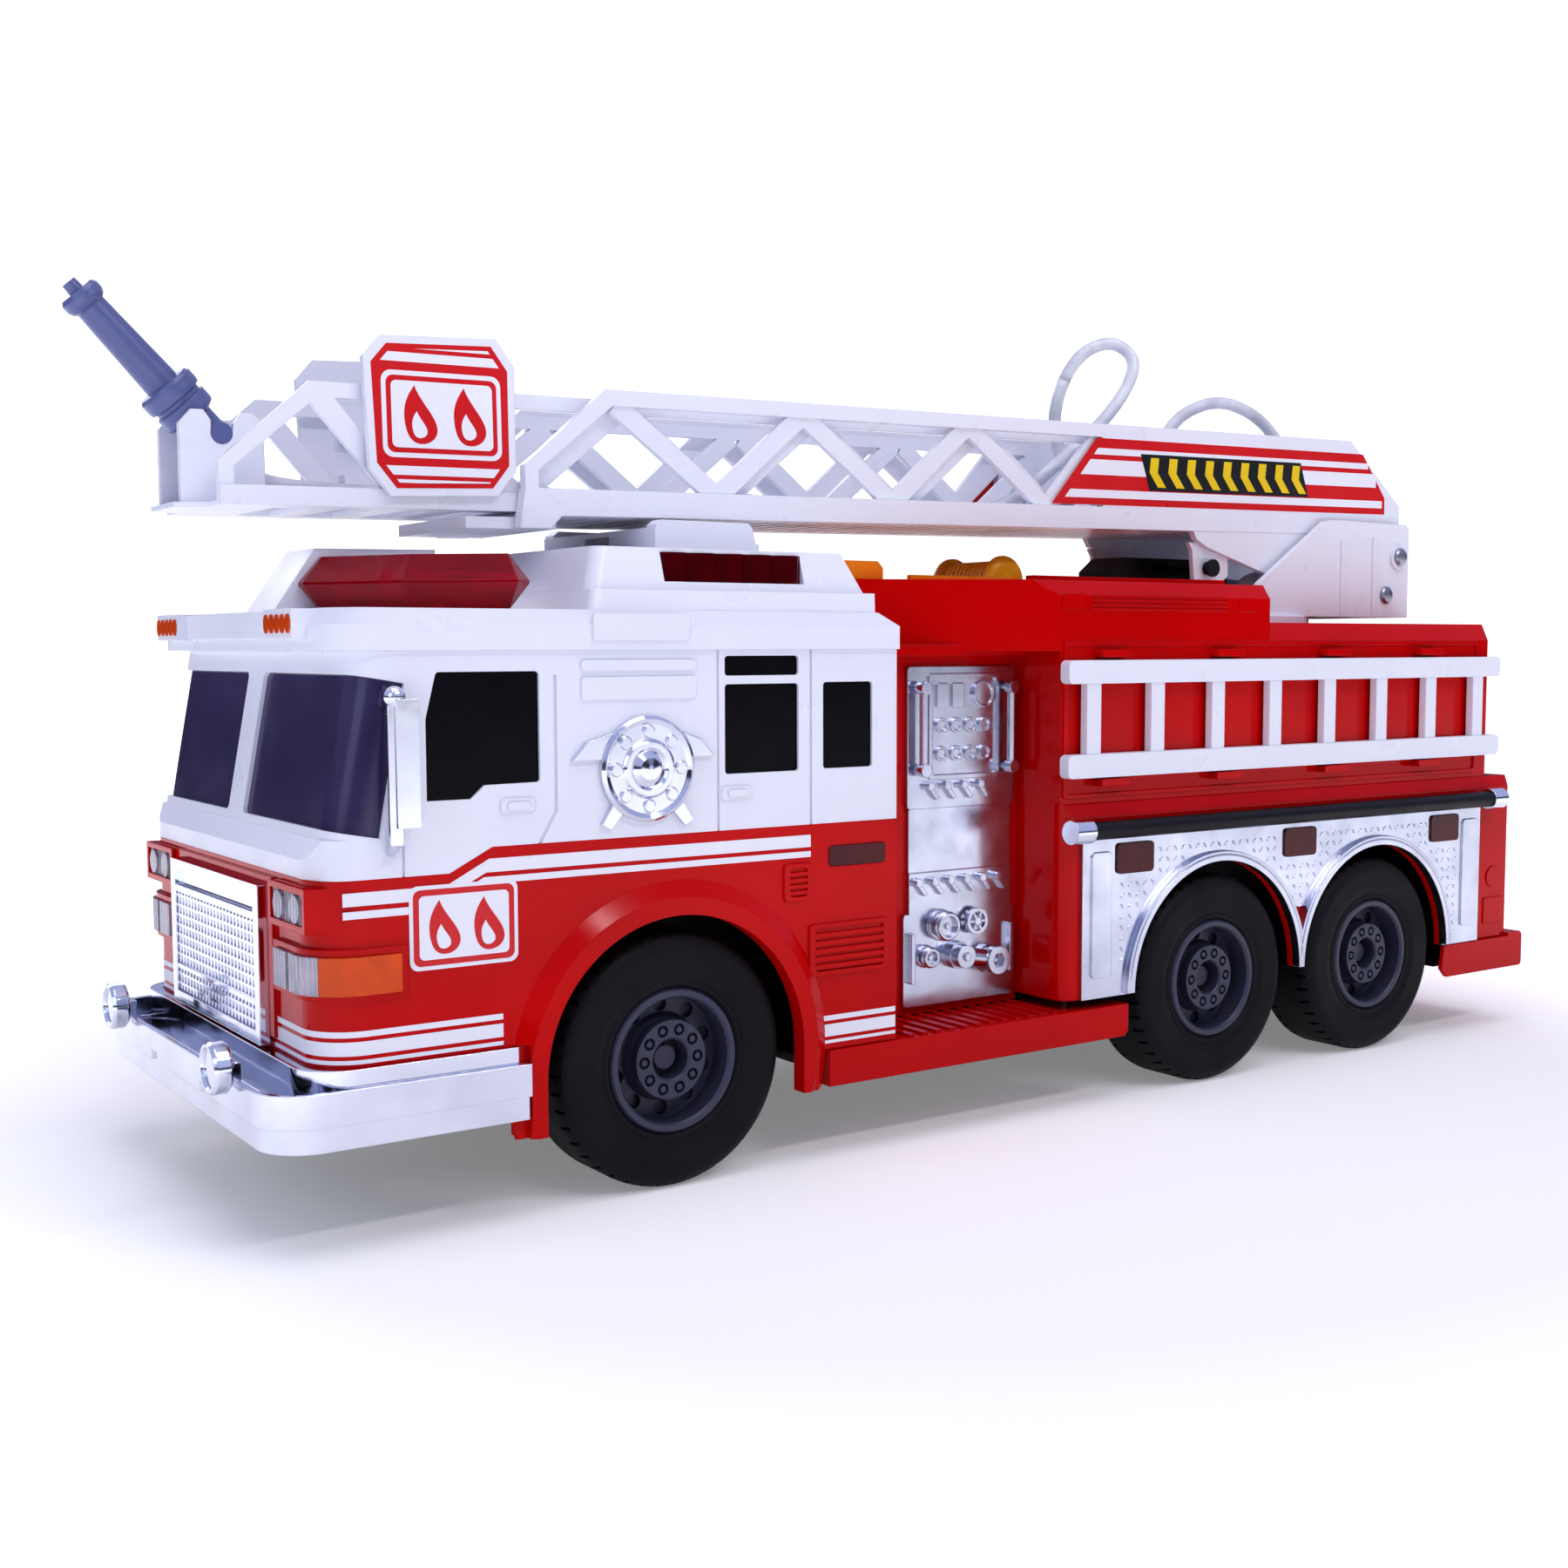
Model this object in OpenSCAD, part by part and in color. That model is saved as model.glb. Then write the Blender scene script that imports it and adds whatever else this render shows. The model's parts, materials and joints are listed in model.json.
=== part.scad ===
// Toy ladder fire engine with a hand-pumped water jet.
// Lengths are millimetres. +X points forward, +Y to the left side, +Z up from the floor.
// Every module is drawn from the front axle: X = 0 on its centre line, Y = 0 on the middle plane.

/* [Wheels] */
// Tyre diameter
tyre_d = 75; // [74:0.5:76]
// Tyre width
tyre_w = 26; // [24:0.5:27]
// Half the distance between the outer tyre faces
track_half = 75.5; // [75:0.5:76]
// Radius of the wheel rim's outer ring
rim_r = 20.5; // [19:0.5:21]
// Steel axle diameter
axle_d = 4; // [3.8:0.1:4.2]
// Distance from the front axle to the middle axle
wheelbase = 225.2; // [224:0.2:227]
// Distance between the two rear axles
tandem_gap = 88.3; // [87:0.1:89]

/* [Body] */
// Half width of the cab and of the rear body
body_half = 76; // [75.5:0.1:76.5]
// Front face of the cab, ahead of the front axle
cab_front = 105.6; // [104:0.2:106]
// Rear face of the cab
cab_rear = -80; // [-82:0.5:-79]
// Height where the red lower cab meets the white upper cab, at the rear
belt_z = 103.4; // [102:0.2:104]
// Underside of the roof fascia
fascia_z = 155.8; // [155:0.2:157]
// Rear face of the lower rear body
tail_x = -399.5; // [-401:0.5:-398]
// Height of the rear deck
deck_z = 165; // [164:0.2:166]
// Wall thickness of the moulded shells
wall = 2.5; // [2:0.1:3]

/* [Turntable and ladder] */
// Turntable centre, measured from the front axle
turn_x = -305; // [-307:0.5:-303]
// Radius of the turntable disc
turn_r = 38; // [36:0.5:39]
// Ladder hinge, measured from the front axle
hinge_x = -378; // [-380:0.5:-376]
// Height of the ladder hinge
hinge_z = 193.4; // [193:0.2:195]
// Nose-down slope of the stowed ladder, in degrees
stow_tilt = 1; // [0.9:0.1:1]
// Length of the base ladder in front of its hinge
base_len = 401; // [399:0.5:402]
// Half width of the base ladder
base_half = 30.5; // [30:0.5:31]
// Upward angle of the nozzle from the ladder, in degrees
nozzle_tilt = 47.4; // [40:0.2:55]

/* [Hidden] */
$fn = 48;

// The origin sits under the middle of the whole part, from the nozzle tip to the rear step.
step_rear_x = -409;
nozzle_reach = 142.4;
shift_x = -(step_rear_x + nozzle_reach) / 2;

tyre_r = tyre_d / 2;
axle_z = tyre_r;
axle_x = [0, -wheelbase, -wheelbase - tandem_gap];
arch_r = 42.8;
tub_half = 46;
shell_floor_z = 34;
skirt_low_z = 22.6;
front_corner_r = 13;
bay_half = 50;
bay_rear_x = -152;
bay_top_z = 157;
upper_half = 72.5;
upper_rear_x = -387;
raised_rear_x = -255;
snug = 0.05;

// Colours of the mouldings
red = [0.78, 0.02, 0.03];
white = [0.90, 0.90, 0.96];
chrome = [0.80, 0.81, 0.84];
black = [0.06, 0.06, 0.07];
glass = [0.08, 0.07, 0.12];

// ---------- shared helpers ----------

// Places a sub-part drawn from the front axle into the part's own frame.
module place() { translate([shift_x, 0, 0]) children(); }

// Both sides of the vehicle: the drawn left side and its mirror image.
module both_sides() {
    children();
    mirror([0, 1, 0]) children();
}

// A box given by its two corners.
module block(a, b) { translate(a) cube(b - a); }

// Corner points of a rounded rectangle, four steps to a corner.
function round_rect(x0, x1, y0, y1, r) = [
    for (c = [[x1 - r, y1 - r, 0], [x0 + r, y1 - r, 90], [x0 + r, y0 + r, 180], [x1 - r, y0 + r, 270]])
        for (k = [0 : 4]) [c[0] + r * cos(c[2] + 22.5 * k), c[1] + r * sin(c[2] + 22.5 * k)]
];

// A prism that runs along Y between y0 and y1, drawn by an X-Z outline.
module side_prism(points, y0, y1) {
    translate([0, y1, 0]) rotate([90, 0, 0]) linear_extrude(y1 - y0) polygon(points);
}

// A prism that runs along X between x0 and x1, drawn by a Y-Z outline.
module cross_prism(points, x0, x1) {
    translate([x0, 0, 0]) rotate([90, 0, 90]) linear_extrude(x1 - x0) polygon(points);
}

// A rounded panel on the left side, from y0 out to y1.
module side_panel(x0, x1, z0, z1, r, y0, y1) {
    side_prism(round_rect(x0, x1, z0, z1, r), y0, y1);
}

// A cylinder along Y, centred on (x, z), from y0 to y1.
module y_rod(x, z, r, y0, y1, fn = 48) {
    translate([x, y1, z]) rotate([90, 0, 0]) cylinder(r = r, h = y1 - y0, $fn = fn);
}

// A cylinder along X, centred on (y, z), from x0 to x1.
module x_rod(y, z, r, x0, x1, fn = 48) {
    translate([x0, y, z]) rotate([0, 90, 0]) cylinder(r = r, h = x1 - x0, $fn = fn);
}

// Plan outline of the cab or bumper: square at the back, round at the front.
module plan_block(x0, x1, half, r, z0, z1) {
    translate([0, 0, z0]) linear_extrude(z1 - z0) {
        translate([x0, -half]) square([x1 - x0 - r, 2 * half]);
        translate([x0, -half + r]) square([x1 - x0, 2 * (half - r)]);
        translate([x1 - r, half - r]) circle(r, $fn = 64);
        translate([x1 - r, r - half]) circle(r, $fn = 64);
    }
}

// ---------- chassis and running gear ----------

// Under-tray with a central tub, outriggers between the wheels and bearings for the axles.
module chassis() {
    tub_floor = 27;
    tub_top = 86;
    outrigger_top = 30;
    bearing_r = 7;
    color(black) difference() {
        union() {
            block([-396, -tub_half, tub_floor], [102, tub_half, tub_top]);
            block([54, -70, tub_floor], [102, 70, outrigger_top]);
            block([-176, -70, tub_floor], [-52, 70, outrigger_top]);
            block([-396, -70, tub_floor], [-360, 70, outrigger_top]);
            for (x = axle_x) y_rod(x, axle_z, bearing_r, -tub_half - 2, tub_half + 2);
        }
        difference() {
            block([-393.5, -tub_half + wall, tub_floor + wall], [99.5, tub_half - wall, tub_top + 1]);
            for (x = [-56, -19], y = [-18, 18]) translate([x, y, tub_floor])
                cylinder(r = 2.5, h = board_z - tub_floor, $fn = 24);
        }
        for (x = axle_x) y_rod(x, axle_z, axle_d / 2 + snug, -80, 80);
        for (p = screw_points) translate([p[0], p[1], 0]) cylinder(r = 1.65, h = 60, $fn = 24);
        block([-148, -32, tub_floor - 1], [-84, 32, tub_floor + wall + 1]);
        for (k = [-2 : 2]) block([32, 5 * k - 1.2, tub_floor - 1], [58, 5 * k + 1.2, tub_floor + wall + 1]);
    }
}

board_z = 60;
screw_points = [[92, 60], [92, -60], [-62, 60], [-62, -60], [-166, 60], [-166, -60], [-386, 60],
    [-386, -60]];

// Self-tapping screws that hold the shells to the chassis from below.
module body_screws() {
    color("silver") for (p = screw_points) translate([p[0], p[1], 0]) difference() {
        union() {
            translate([0, 0, 25.4]) cylinder(r = 2.8, h = 1.6, $fn = 24);
            translate([0, 0, 27]) cylinder(r = 1.5, h = 15, $fn = 24);
        }
        translate([-2, -0.4, 25]) cube([4, 0.8, 1]);
        translate([-0.4, -2, 25]) cube([0.8, 4, 1]);
    }
}

// A steel axle with plain ends.
module axle(i) {
    color("silver") y_rod(axle_x[i], axle_z, axle_d / 2, -66, 66);
}

// Tyre: a ring with rounded shoulders and cross notches on the shoulders.
module tyre(i) {
    shoulder = 5;
    bead_r = rim_r + 0.6;
    notch_count = 44;
    notch = [3, 1.1, 6.5];
    translate([axle_x[i], track_half, axle_z]) rotate([90, 0, 0]) difference() {
        rotate_extrude($fn = 96) polygon(concat(
            [[bead_r, 1.4], [bead_r + 1, 0.5], [bead_r + 1.8, 0.5], [bead_r + 2.4, 0.9], [bead_r + 5, 0.1]],
            [for (a = [-90 : 15 : 0])
                [tyre_r - shoulder + shoulder * cos(a), shoulder + shoulder * sin(a)]],
            [for (a = [0 : 22.5 : 90])
                [tyre_r - shoulder + shoulder * cos(a), tyre_w - shoulder + shoulder * sin(a)]],
            [[bead_r + 1.5, tyre_w], [bead_r, tyre_w - 1.2]]
        ));
        for (k = [0 : notch_count - 1]) rotate([0, 0, k * 360 / notch_count]) {
            translate([tyre_r - 1.1, -notch[1] / 2, 0]) cube(notch);
            translate([tyre_r - 1.1, -notch[1] / 2, tyre_w - notch[2]]) cube(notch);
        }
    }
}

// Wheel rim: outer ring, dished web with hand holes, nut flange and hub that grips the axle.
module rim(i) {
    bead_r = rim_r + 0.6;
    hole_count = 10;
    flange_r = 11.6;
    translate([axle_x[i], track_half, axle_z]) rotate([90, 0, 0]) difference() {
        union() {
            rotate_extrude($fn = 96) polygon([
                [axle_d / 2, 10], [5.8, 10], [5.8, 3.2], [6.4, 2.6], [flange_r, 2.6], [flange_r, 6],
                [13, 9], [rim_r - 2.2, 9], [rim_r - 2.2, 1.2], [rim_r - 1.6, 0.4], [rim_r, 0.4],
                    [bead_r, 1.4],
                [bead_r, tyre_w - 1.4], [rim_r - 1, tyre_w - 1.4], [rim_r - 1, 12], [axle_d / 2 + 3, 12],
                [axle_d / 2 + 3, 24], [axle_d / 2, 24]
            ]);
            translate([0, 0, 9.6]) cylinder(r = axle_d / 2 + 1, h = 3, $fn = 32);
            translate([0, 0, 6.4]) cylinder(r = 3.6, h = 3.2, $fn = 32);
        }
        for (k = [0 : hole_count - 1]) rotate([0, 0, 36 * k + 18])
            translate([15.4, 0, 8]) cylinder(r = 2.2, h = 3, $fn = 24);
        for (k = [0 : hole_count - 1]) rotate([0, 0, 36 * k]) translate([8.9, 0, 2]) difference() {
            cylinder(r = 1.75, h = 2.4, $fn = 24);
            cylinder(r = 1.05, h = 3, $fn = 6);
        }
        translate([0, 0, 9.5]) cylinder(r = axle_d / 2, h = 20, $fn = 48);
    }
}

// The two wheels of an axle: tyres and rims.
module tyre_pair(i) { color(black) both_sides() tyre(i); }
module rim_pair(i) { color([0.22, 0.22, 0.27]) both_sides() rim(i); }

// ---------- cab ----------

// Side outline of the belt line, from the rear of the cab to its front corner.
belt_front_z = 97.1;
belt_line = [[cab_rear, belt_z], [57, belt_z], [69.5, belt_front_z], [cab_front, belt_front_z]];

// Red lower cab: hollow shell with round front corners and flared front wheel arches.
module cab_lower() {
    flare_out = 79;
    color(red) difference() {
        union() {
            intersection() {
                plan_block(cab_rear, cab_front, body_half, front_corner_r, shell_floor_z, belt_z + 1);
                side_prism(concat(belt_line, [[cab_front, shell_floor_z], [cab_rear, shell_floor_z]]),
                    -90, 90);
            }
            both_sides() intersection() {
                arch_flare(flare_out);
                block([-60, 0, skirt_low_z], [60, 90, 100]);
            }
            both_sides() louvre([-75, -48], [58, 72], 5);
            both_sides() louvre([-46.2, -38.8], [81.5, 91], 4);
            block([cab_front, -44, 52], [cab_front + 1, 44, 95.5]);
            both_sides() lamp_bezels();
        }
        difference() {
            union() {
                plan_block(cab_rear + wall, cab_front - wall, body_half - wall, front_corner_r - wall,
                    30, 110);
                block([cab_rear - 1, -tub_half - 1, 30], [cab_rear + 5, tub_half + 1, 110]);
            }
            both_sides() {
                translate([92, 60, 0]) cylinder(r = 4, h = 110, $fn = 32);
                block([88, 62, 30], [96, 76, 60]);
            }
        }
        y_rod(axle_x[0], axle_z, arch_r, -90, 90, 96);
        both_sides() block([-arch_r, 40, 10], [arch_r, 90, axle_z]);
        both_sides() lamp_pockets();
        both_sides() side_panel(-75.5, -54, 90.2, 96.4, 1.2, 74.4, 78);
        both_sides() block([47.6, body_half + 0.1, 20], [90, 90, 48.8]);
        both_sides() translate([92, 60, 0]) cylinder(r = 1.5, h = 44, $fn = 24);
    }
}

// Flared lip round the front wheel opening, with straight legs below the axle.
module arch_flare(flare_out) {
    translate([0, body_half - 0.5, axle_z]) rotate([-90, 0, 0])
        cylinder(r1 = 53.5, r2 = 48, h = flare_out - body_half + 0.5, $fn = 96);
    y_rod(0, axle_z, 48, body_half - wall, flare_out, 96);
    block([-49, body_half - wall, skirt_low_z], [-arch_r, flare_out - 1, axle_z]);
    block([arch_r, body_half - wall, skirt_low_z + 1], [51.5, flare_out - 1, axle_z]);
}

// A raised frame with slats, on the side wall.
module louvre(x, z, slats) {
    pitch = (z[1] - z[0] - 2) / slats;
    difference() {
        side_panel(x[0] - 1.5, x[1] + 1.5, z[0] - 1, z[1] + 1, 1.5, body_half - 0.2, body_half + 0.8);
        side_panel(x[0] + 0.5, x[1] - 0.5, z[0] + 0.5, z[1] - 0.5, 1, body_half, body_half + 2);
    }
    for (k = [0 : slats - 1]) side_prism([
        [x[0] + 0.5, z[0] + 1 + pitch * k], [x[1] - 0.5, z[0] + 1 + pitch * k],
        [x[1] - 0.5, z[0] + 1 + pitch * (k + 0.65)], [x[0] + 0.5, z[0] + 1 + pitch * (k + 0.65)]
    ], body_half - 0.2, body_half + 0.7);
}

// Bezels round the upper headlamps and the lower lamp clusters, on the left front corner.
module lamp_bezels() {
    block([cab_front - 14, 44.5, 83.6], [cab_front + 2.2, 72.5, 95.2]);
    intersection() {
        plan_block(82, cab_front + 1.5, body_half + 1.2, front_corner_r + 0.5, 66, 79.5);
        block([82, 46, 60], [120, 90, 90]);
    }
}

// Pockets that take the upper lens pair and the wrap-round lower lens.
module lamp_pockets() {
    block([cab_front - 1, 46.5, 85.4], [cab_front + 4, 70.7, 93.6]);
    lower_lens_shape();
}

// Lower cluster lens body: it follows the corner from the front to the side.
module lower_lens_shape() {
    difference() {
        intersection() {
            plan_block(70, cab_front + 2.5, body_half + 2.2, front_corner_r + 1, 67.6, 77.6);
            block([84, 48.5, 60], [120, 90, 90]);
        }
        plan_block(60, cab_front - 0.6, body_half - 0.8, front_corner_r - 1, 60, 90);
    }
}

// Windscreen plane: how far the upper cab's front leans back.
screen_low_z = 107.5;
screen_low_x = 102.3;
screen_lean = 10.4;
screen_corner_r = 9;

// Solid of the upper cab, shrunk by an inset on every side but the bottom.
module upper_cab_solid(inset) {
    intersection() {
        union() {
            plan_block(cab_rear + inset, cab_front - inset, body_half - inset, front_corner_r - inset,
                90, screen_low_z - inset);
            translate([screen_low_x - inset, 0, screen_low_z]) rotate([0, -screen_lean, 0])
                plan_block(-200, 0, body_half - inset, screen_corner_r - inset, -12, 110);
        }
        side_prism(concat(
            [for (p = belt_line) [p[0], p[1] - inset]],
            [[cab_front, 102], [screen_low_x + 0.2, screen_low_z], [99, 165], [cab_rear, 165]]
        ), -90, 90);
        block([cab_rear + inset, -80, 90], [120, 80, fascia_z]);
    }
}

// Window openings on the left side of the cab.
module side_window_shapes(y0, y1) {
    side_prism([
        [75.5, 116.5], [75.5, 138], [72.6, 149.6], [72, 150.2], [43.3, 150.2], [42.6, 149.5],
        [42.6, 120.8], [43.3, 120.2], [59, 120], [63, 116.5]
    ], y0, y1);
    side_panel(-43, -17, 148.3, 154, 1, y0, y1);
    side_panel(-43, -17, 119.8, 145.8, 1, y0, y1);
    side_panel(-70.5, -52, 120, 146, 1, y0, y1);
}

// One windscreen pane opening, from beside the centre post to the corner.
module screen_pane(depth0, depth1, half) {
    translate([screen_low_x, 0, screen_low_z]) rotate([0, -screen_lean, 0]) difference() {
        intersection() {
            plan_block(-20, depth1, half, screen_corner_r, 2.5, 43);
            cross_prism(round_rect(6.5, 90, 2.5, 43, 2), -13.5, 20);
        }
        plan_block(-40, depth0, half - depth1 + depth0, screen_corner_r - depth1 + depth0, -5, 60);
    }
}

// White upper cab: hollow shell with door seams, handles and raised panels.
module cab_upper() {
    color(white) difference() {
        union() {
            difference() {
                upper_cab_solid(0);
                upper_cab_solid(wall);
                block([cab_rear - 1, -tub_half, 96], [cab_rear + 4, tub_half, 150]);
                side_prism([[cab_rear - 1, 80], [110, 80], [110, 96], [cab_rear - 1, 96]], -90, 90);
            }
            both_sides() {
                side_panel(-7, 30, 142, 148.5, 1, body_half - 0.2, body_half + 0.8);
                side_panel(-7, 30, 150, 153.2, 1, body_half - 0.2, body_half + 0.8);
                handle_boss(49.5, 114.2);
                handle_boss(-20.7, 114.2);
            }
        }
        both_sides() {
            side_window_shapes(70, 80);
            screen_pane(-6, 1, body_half + 1);
            side_seam(82.3, belt_front_z - 1, 106);
            side_seam(-14.6, belt_z - 1, fascia_z + 1);
            side_seam(-47.5, belt_z - 1, fascia_z + 1);
            side_prism([[43, belt_z - 1], [37.4, 112], [37.4, 149], [38.2, 149], [38.2, 112.3],
                [43.9, belt_z - 1]],
                body_half - 0.6, body_half + 1);
        }
    }
}

// A thin vertical groove in the left side wall.
module side_seam(x, z0, z1) { block([x - 0.35, body_half - 0.6, z0], [x + 0.35, body_half + 1, z1]); }

// A moulded door handle on a raised pad.
module handle_boss(x, z) {
    side_panel(x - 5.2, x + 5.2, z - 2.1, z + 2.1, 1.4, body_half - 0.2, body_half + 0.7);
    side_panel(x - 3.4, x + 3.4, z - 1.1, z + 1.1, 0.9, body_half, body_half + 1.6);
}

// Dark windscreen panes set into the upper cab, one solid on each side of the post.
module windscreen() {
    color(glass) both_sides() screen_pane(-3.2, -1.2, body_half - 1.2);
}

// Dark side glass, filling the window openings a little below the surface.
module side_windows() {
    color(glass) both_sides() side_window_shapes(73.6, 75.1);
}

// Front edge of the roof's fascia.
visor_x = 101.3;

// White roof: fascia with a visor, stepped deck, light-bar plinth and raised rear section.
module cab_roof() {
    roof_z = 167;
    color(white) difference() {
        union() {
            plan_block(cab_rear, visor_x, 77.5, 14, fascia_z, 162.8);
            hull() {
                plan_block(cab_rear, visor_x, 77.5, 14, 162.7, 162.8);
                plan_block(cab_rear + 5, visor_x - 4, 73, 12, roof_z - 0.1, roof_z);
            }
            hull() {
                plan_block(cab_rear + 5, 24, 71.5, 3, roof_z - 0.1, roof_z);
                plan_block(cab_rear + 2.5, 21, 68, 3, 172.9, 173);
            }
            hull() {
                plan_block(cab_rear + 3.5, 20.5, 63.5, 4, 172.9, 173);
                plan_block(cab_rear + 9.5, 16, 59.5, 4, 185.4, 185.5);
            }
            cross_prism([[-60, 159.2], [-60, 166.5], [60, 166.5], [60, 159.2]], visor_x - 6, visor_x + 1.4);
            both_sides() block([visor_x - 6, 40, 159], [visor_x + 4.2, 61, 166.8]);
            side_prism([[94, roof_z - 1], [81, 185], [44, 185.6], [47, roof_z - 1]], -12, 12);
            both_sides() side_panel(-4, 27, 158.4, 166, 1, 77.3, 78.4);
        }
        both_sides() roof_lamp_pocket();
        hull() {
            block([cab_rear + 6, -66, fascia_z - 1], [92, 66, fascia_z]);
            block([cab_rear + 9, -64, 165.4], [88, 64, 165.5]);
        }
        block([-66, -48, fascia_z], [10, 48, 182]);
        both_sides() roof_marker_ovals(visor_x + 3.4, 3);
    }
}

// Row of five upright ovals on one roof marker box, from x forward by the given depth.
module roof_marker_ovals(x, depth) {
    for (k = [0 : 4]) translate([x, 42.1 + 4.2 * k, 162.9])
        rotate([0, 90, 0]) scale([1, 0.66, 1]) cylinder(r = 2.5, h = depth, $fn = 24);
}

// Pocket of one ribbed roof lamp in the raised section's side.
module roof_lamp_pocket() { block([-54.5, 56.5, 175.6], [-5, 70, 184.2]); }

// Ribbed dark-red lamps along both sides of the raised roof section.
module roof_lamp_lenses() {
    color([0.35, 0.01, 0.03]) both_sides() intersection() {
        union() {
            block([-54.5, 56.5, 175.6], [-5, 60.2, 184.2]);
            for (k = [0 : 4]) translate([-49.8 + 10 * k, 59.2, 175.6]) scale([1, 0.62, 1])
                cylinder(r = 4.6, h = 8.6, $fn = 32);
        }
        block([-54.5, 56.5, 175.6], [-5, 64, 184.2]);
    }
}

// Swept-back light-bar lenses, pointed at both ends and waisted at mid height.
module light_bar_lenses() {
    low_z = 167;
    top_z = 182.4;
    bevel = 4.4;
    outline = [[86, 12.2], [86, 16], [69, 47], [44, 67], [38, 62], [54, 38], [70, 12.2]];
    color([0.62, 0.02, 0.05]) both_sides() hull() {
        translate([0, 0, (low_z + top_z) / 2 - 0.4]) linear_extrude(0.8) polygon(outline);
        for (z = [low_z, top_z - 0.1]) translate([0, 0, z]) linear_extrude(0.1) intersection() {
            offset(delta = -bevel) polygon(outline);
            translate([0, 12.2 + bevel]) square([120, 80]);
        }
        for (z = [low_z, top_z - 0.1]) translate([76, 12.3, z]) cube([4, 1, 0.1]);
    }
}

// White saddle on the roof that the stowed ladder lies over.
module ladder_rest() {
    top_z = 195.5;
    color(white) difference() {
        union() {
            block([-20.5, -37, 185.5], [-17, 37, 193.2]);
            both_sides() side_prism([[-55, 185.5], [-52.5, 194], [-51, top_z], [-19.5, top_z],
                [-17.5, 194], [-17, 185.5]], 31, 37);
            block([-55, -37, 185.5], [-51.5, 37, 189]);
        }
        block([-30, -8, 189], [-10, 8, 191.5]);
    }
}

// Chrome grille: frame, upper slot, cross-hatched mesh field and plain centre bar.
module grille() {
    face_x = cab_front + 1;
    color(chrome) {
        difference() {
            block([face_x, -40.3, 49.6], [face_x + 2.8, 40.3, 93.1]);
            cross_prism([[-36.5, 53], [36.5, 53], [36.5, 83.5], [-36.5, 83.5]], face_x + 1.2, face_x + 4);
            cross_prism([[-36.5, 85.5], [36.5, 85.5], [36.5, 90], [-36.5, 90]], face_x + 1.2, face_x + 4);
        }
        for (k = [0 : 23]) block([face_x + 1.1, -35.4 + 3.05 * k, 53.2],
            [face_x + 2.1, -34.4 + 3.05 * k, 83.3]);
        for (k = [0 : 9]) block([face_x + 1.1, -36.3, 54.6 + 3 * k], [face_x + 2.1, 36.3, 55.6 + 3 * k]);
        block([face_x + 1.1, -36.3, 60], [face_x + 2.6, 36.3, 61.4]);
    }
}

// Clear upper twin lenses and the ribbed clear part of the lower clusters.
module headlamp_lenses() {
    color([0.85, 0.85, 0.92]) both_sides() {
        difference() {
            union() {
                block([cab_front - 1, 46.5, 85.4], [cab_front + 1.4, 70.7, 93.6]);
                x_rod(52.4, 89.5, 3.7, cab_front, cab_front + 2.3, 32);
                x_rod(64.8, 89.5, 3.7, cab_front, cab_front + 2.3, 32);
            }
            block([cab_front - 2, 58.2, 84], [cab_front + 0.6, 59, 95]);
        }
        intersection() {
            lower_lens_shape();
            block([80, 48.5, 60], [120, 73.2, 90]);
            difference() {
                block([80, 48, 60], [120, 80, 90]);
                block([cab_front + 0.8, 58.5, 60], [120, 60.5, 90]);
            }
        }
    }
}

// Amber side part of the lower clusters, and the amber ovals of the roof markers.
module turn_lenses() {
    color([0.95, 0.42, 0.05]) both_sides() {
        intersection() {
            lower_lens_shape();
            block([80, 73.2, 60], [120, 90, 90]);
        }
        roof_marker_ovals(visor_x + 3.4, 1.2);
    }
}

// Dark red reflectors and ribbed side markers.
module marker_lenses() {
    color([0.30, 0.01, 0.04]) both_sides() {
        side_panel(-75.5, -54, 90.2, 96.4, 1.2, 74.4, 76.3);
        for (x = [-192, -277.5, -364]) side_panel(x, x + 17.5, 79, 89.6, 1.6, 76.6, 77.3);
    }
}

// Chrome tray bumper: outer rim, trough, inner rail and side returns.
module front_bumper() {
    rim_x = 120.5;
    rim_half = 79.8;
    color(chrome) difference() {
        union() {
            plan_block(48, rim_x, rim_half, 14, 35, 44);
            plan_block(48.5, rim_x - 1.2, rim_half - 0.8, 13.5, 28.5, 35);
            plan_block(51, 109.6, 78, 13.5, 44, 48.6);
        }
        plan_block(40, cab_front + 0.2, body_half + 0.2, front_corner_r, 20, 60);
        difference() {
            plan_block(40, rim_x - 1.6, rim_half - 1.6, 12.6, 37, 60);
            plan_block(30, 109.6, 78, 13.5, 30, 61);
        }
        plan_block(30, 104, 77.2, 12, 20, 34);
        for (y = [-26, 22]) block([rim_x - 0.8, y, 33.5], [rim_x + 2, y + 9, 38]);
    }
}

// Two round lamps that stand on the bumper's rim.
module bumper_lamps() {
    color(chrome) for (y = [-50, 50]) {
        rotate_lamp(y, [[0, 0], [6.2, 0], [7, 0.8], [7, 4.2], [6.4, 5.2], [5.6, 5.2], [5.2, 4.4],
            [0, 4.4]]);
        block([118.9, y - 3.4, 44], [121.6, y + 3.4, 49]);
    }
}

// A round bumper lamp part, turned from its profile on the lamp's centre line.
module rotate_lamp(y, profile) {
    translate([121.6, y, 47.5]) rotate([0, 90, 0]) rotate_extrude($fn = 48) polygon(profile);
}

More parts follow.
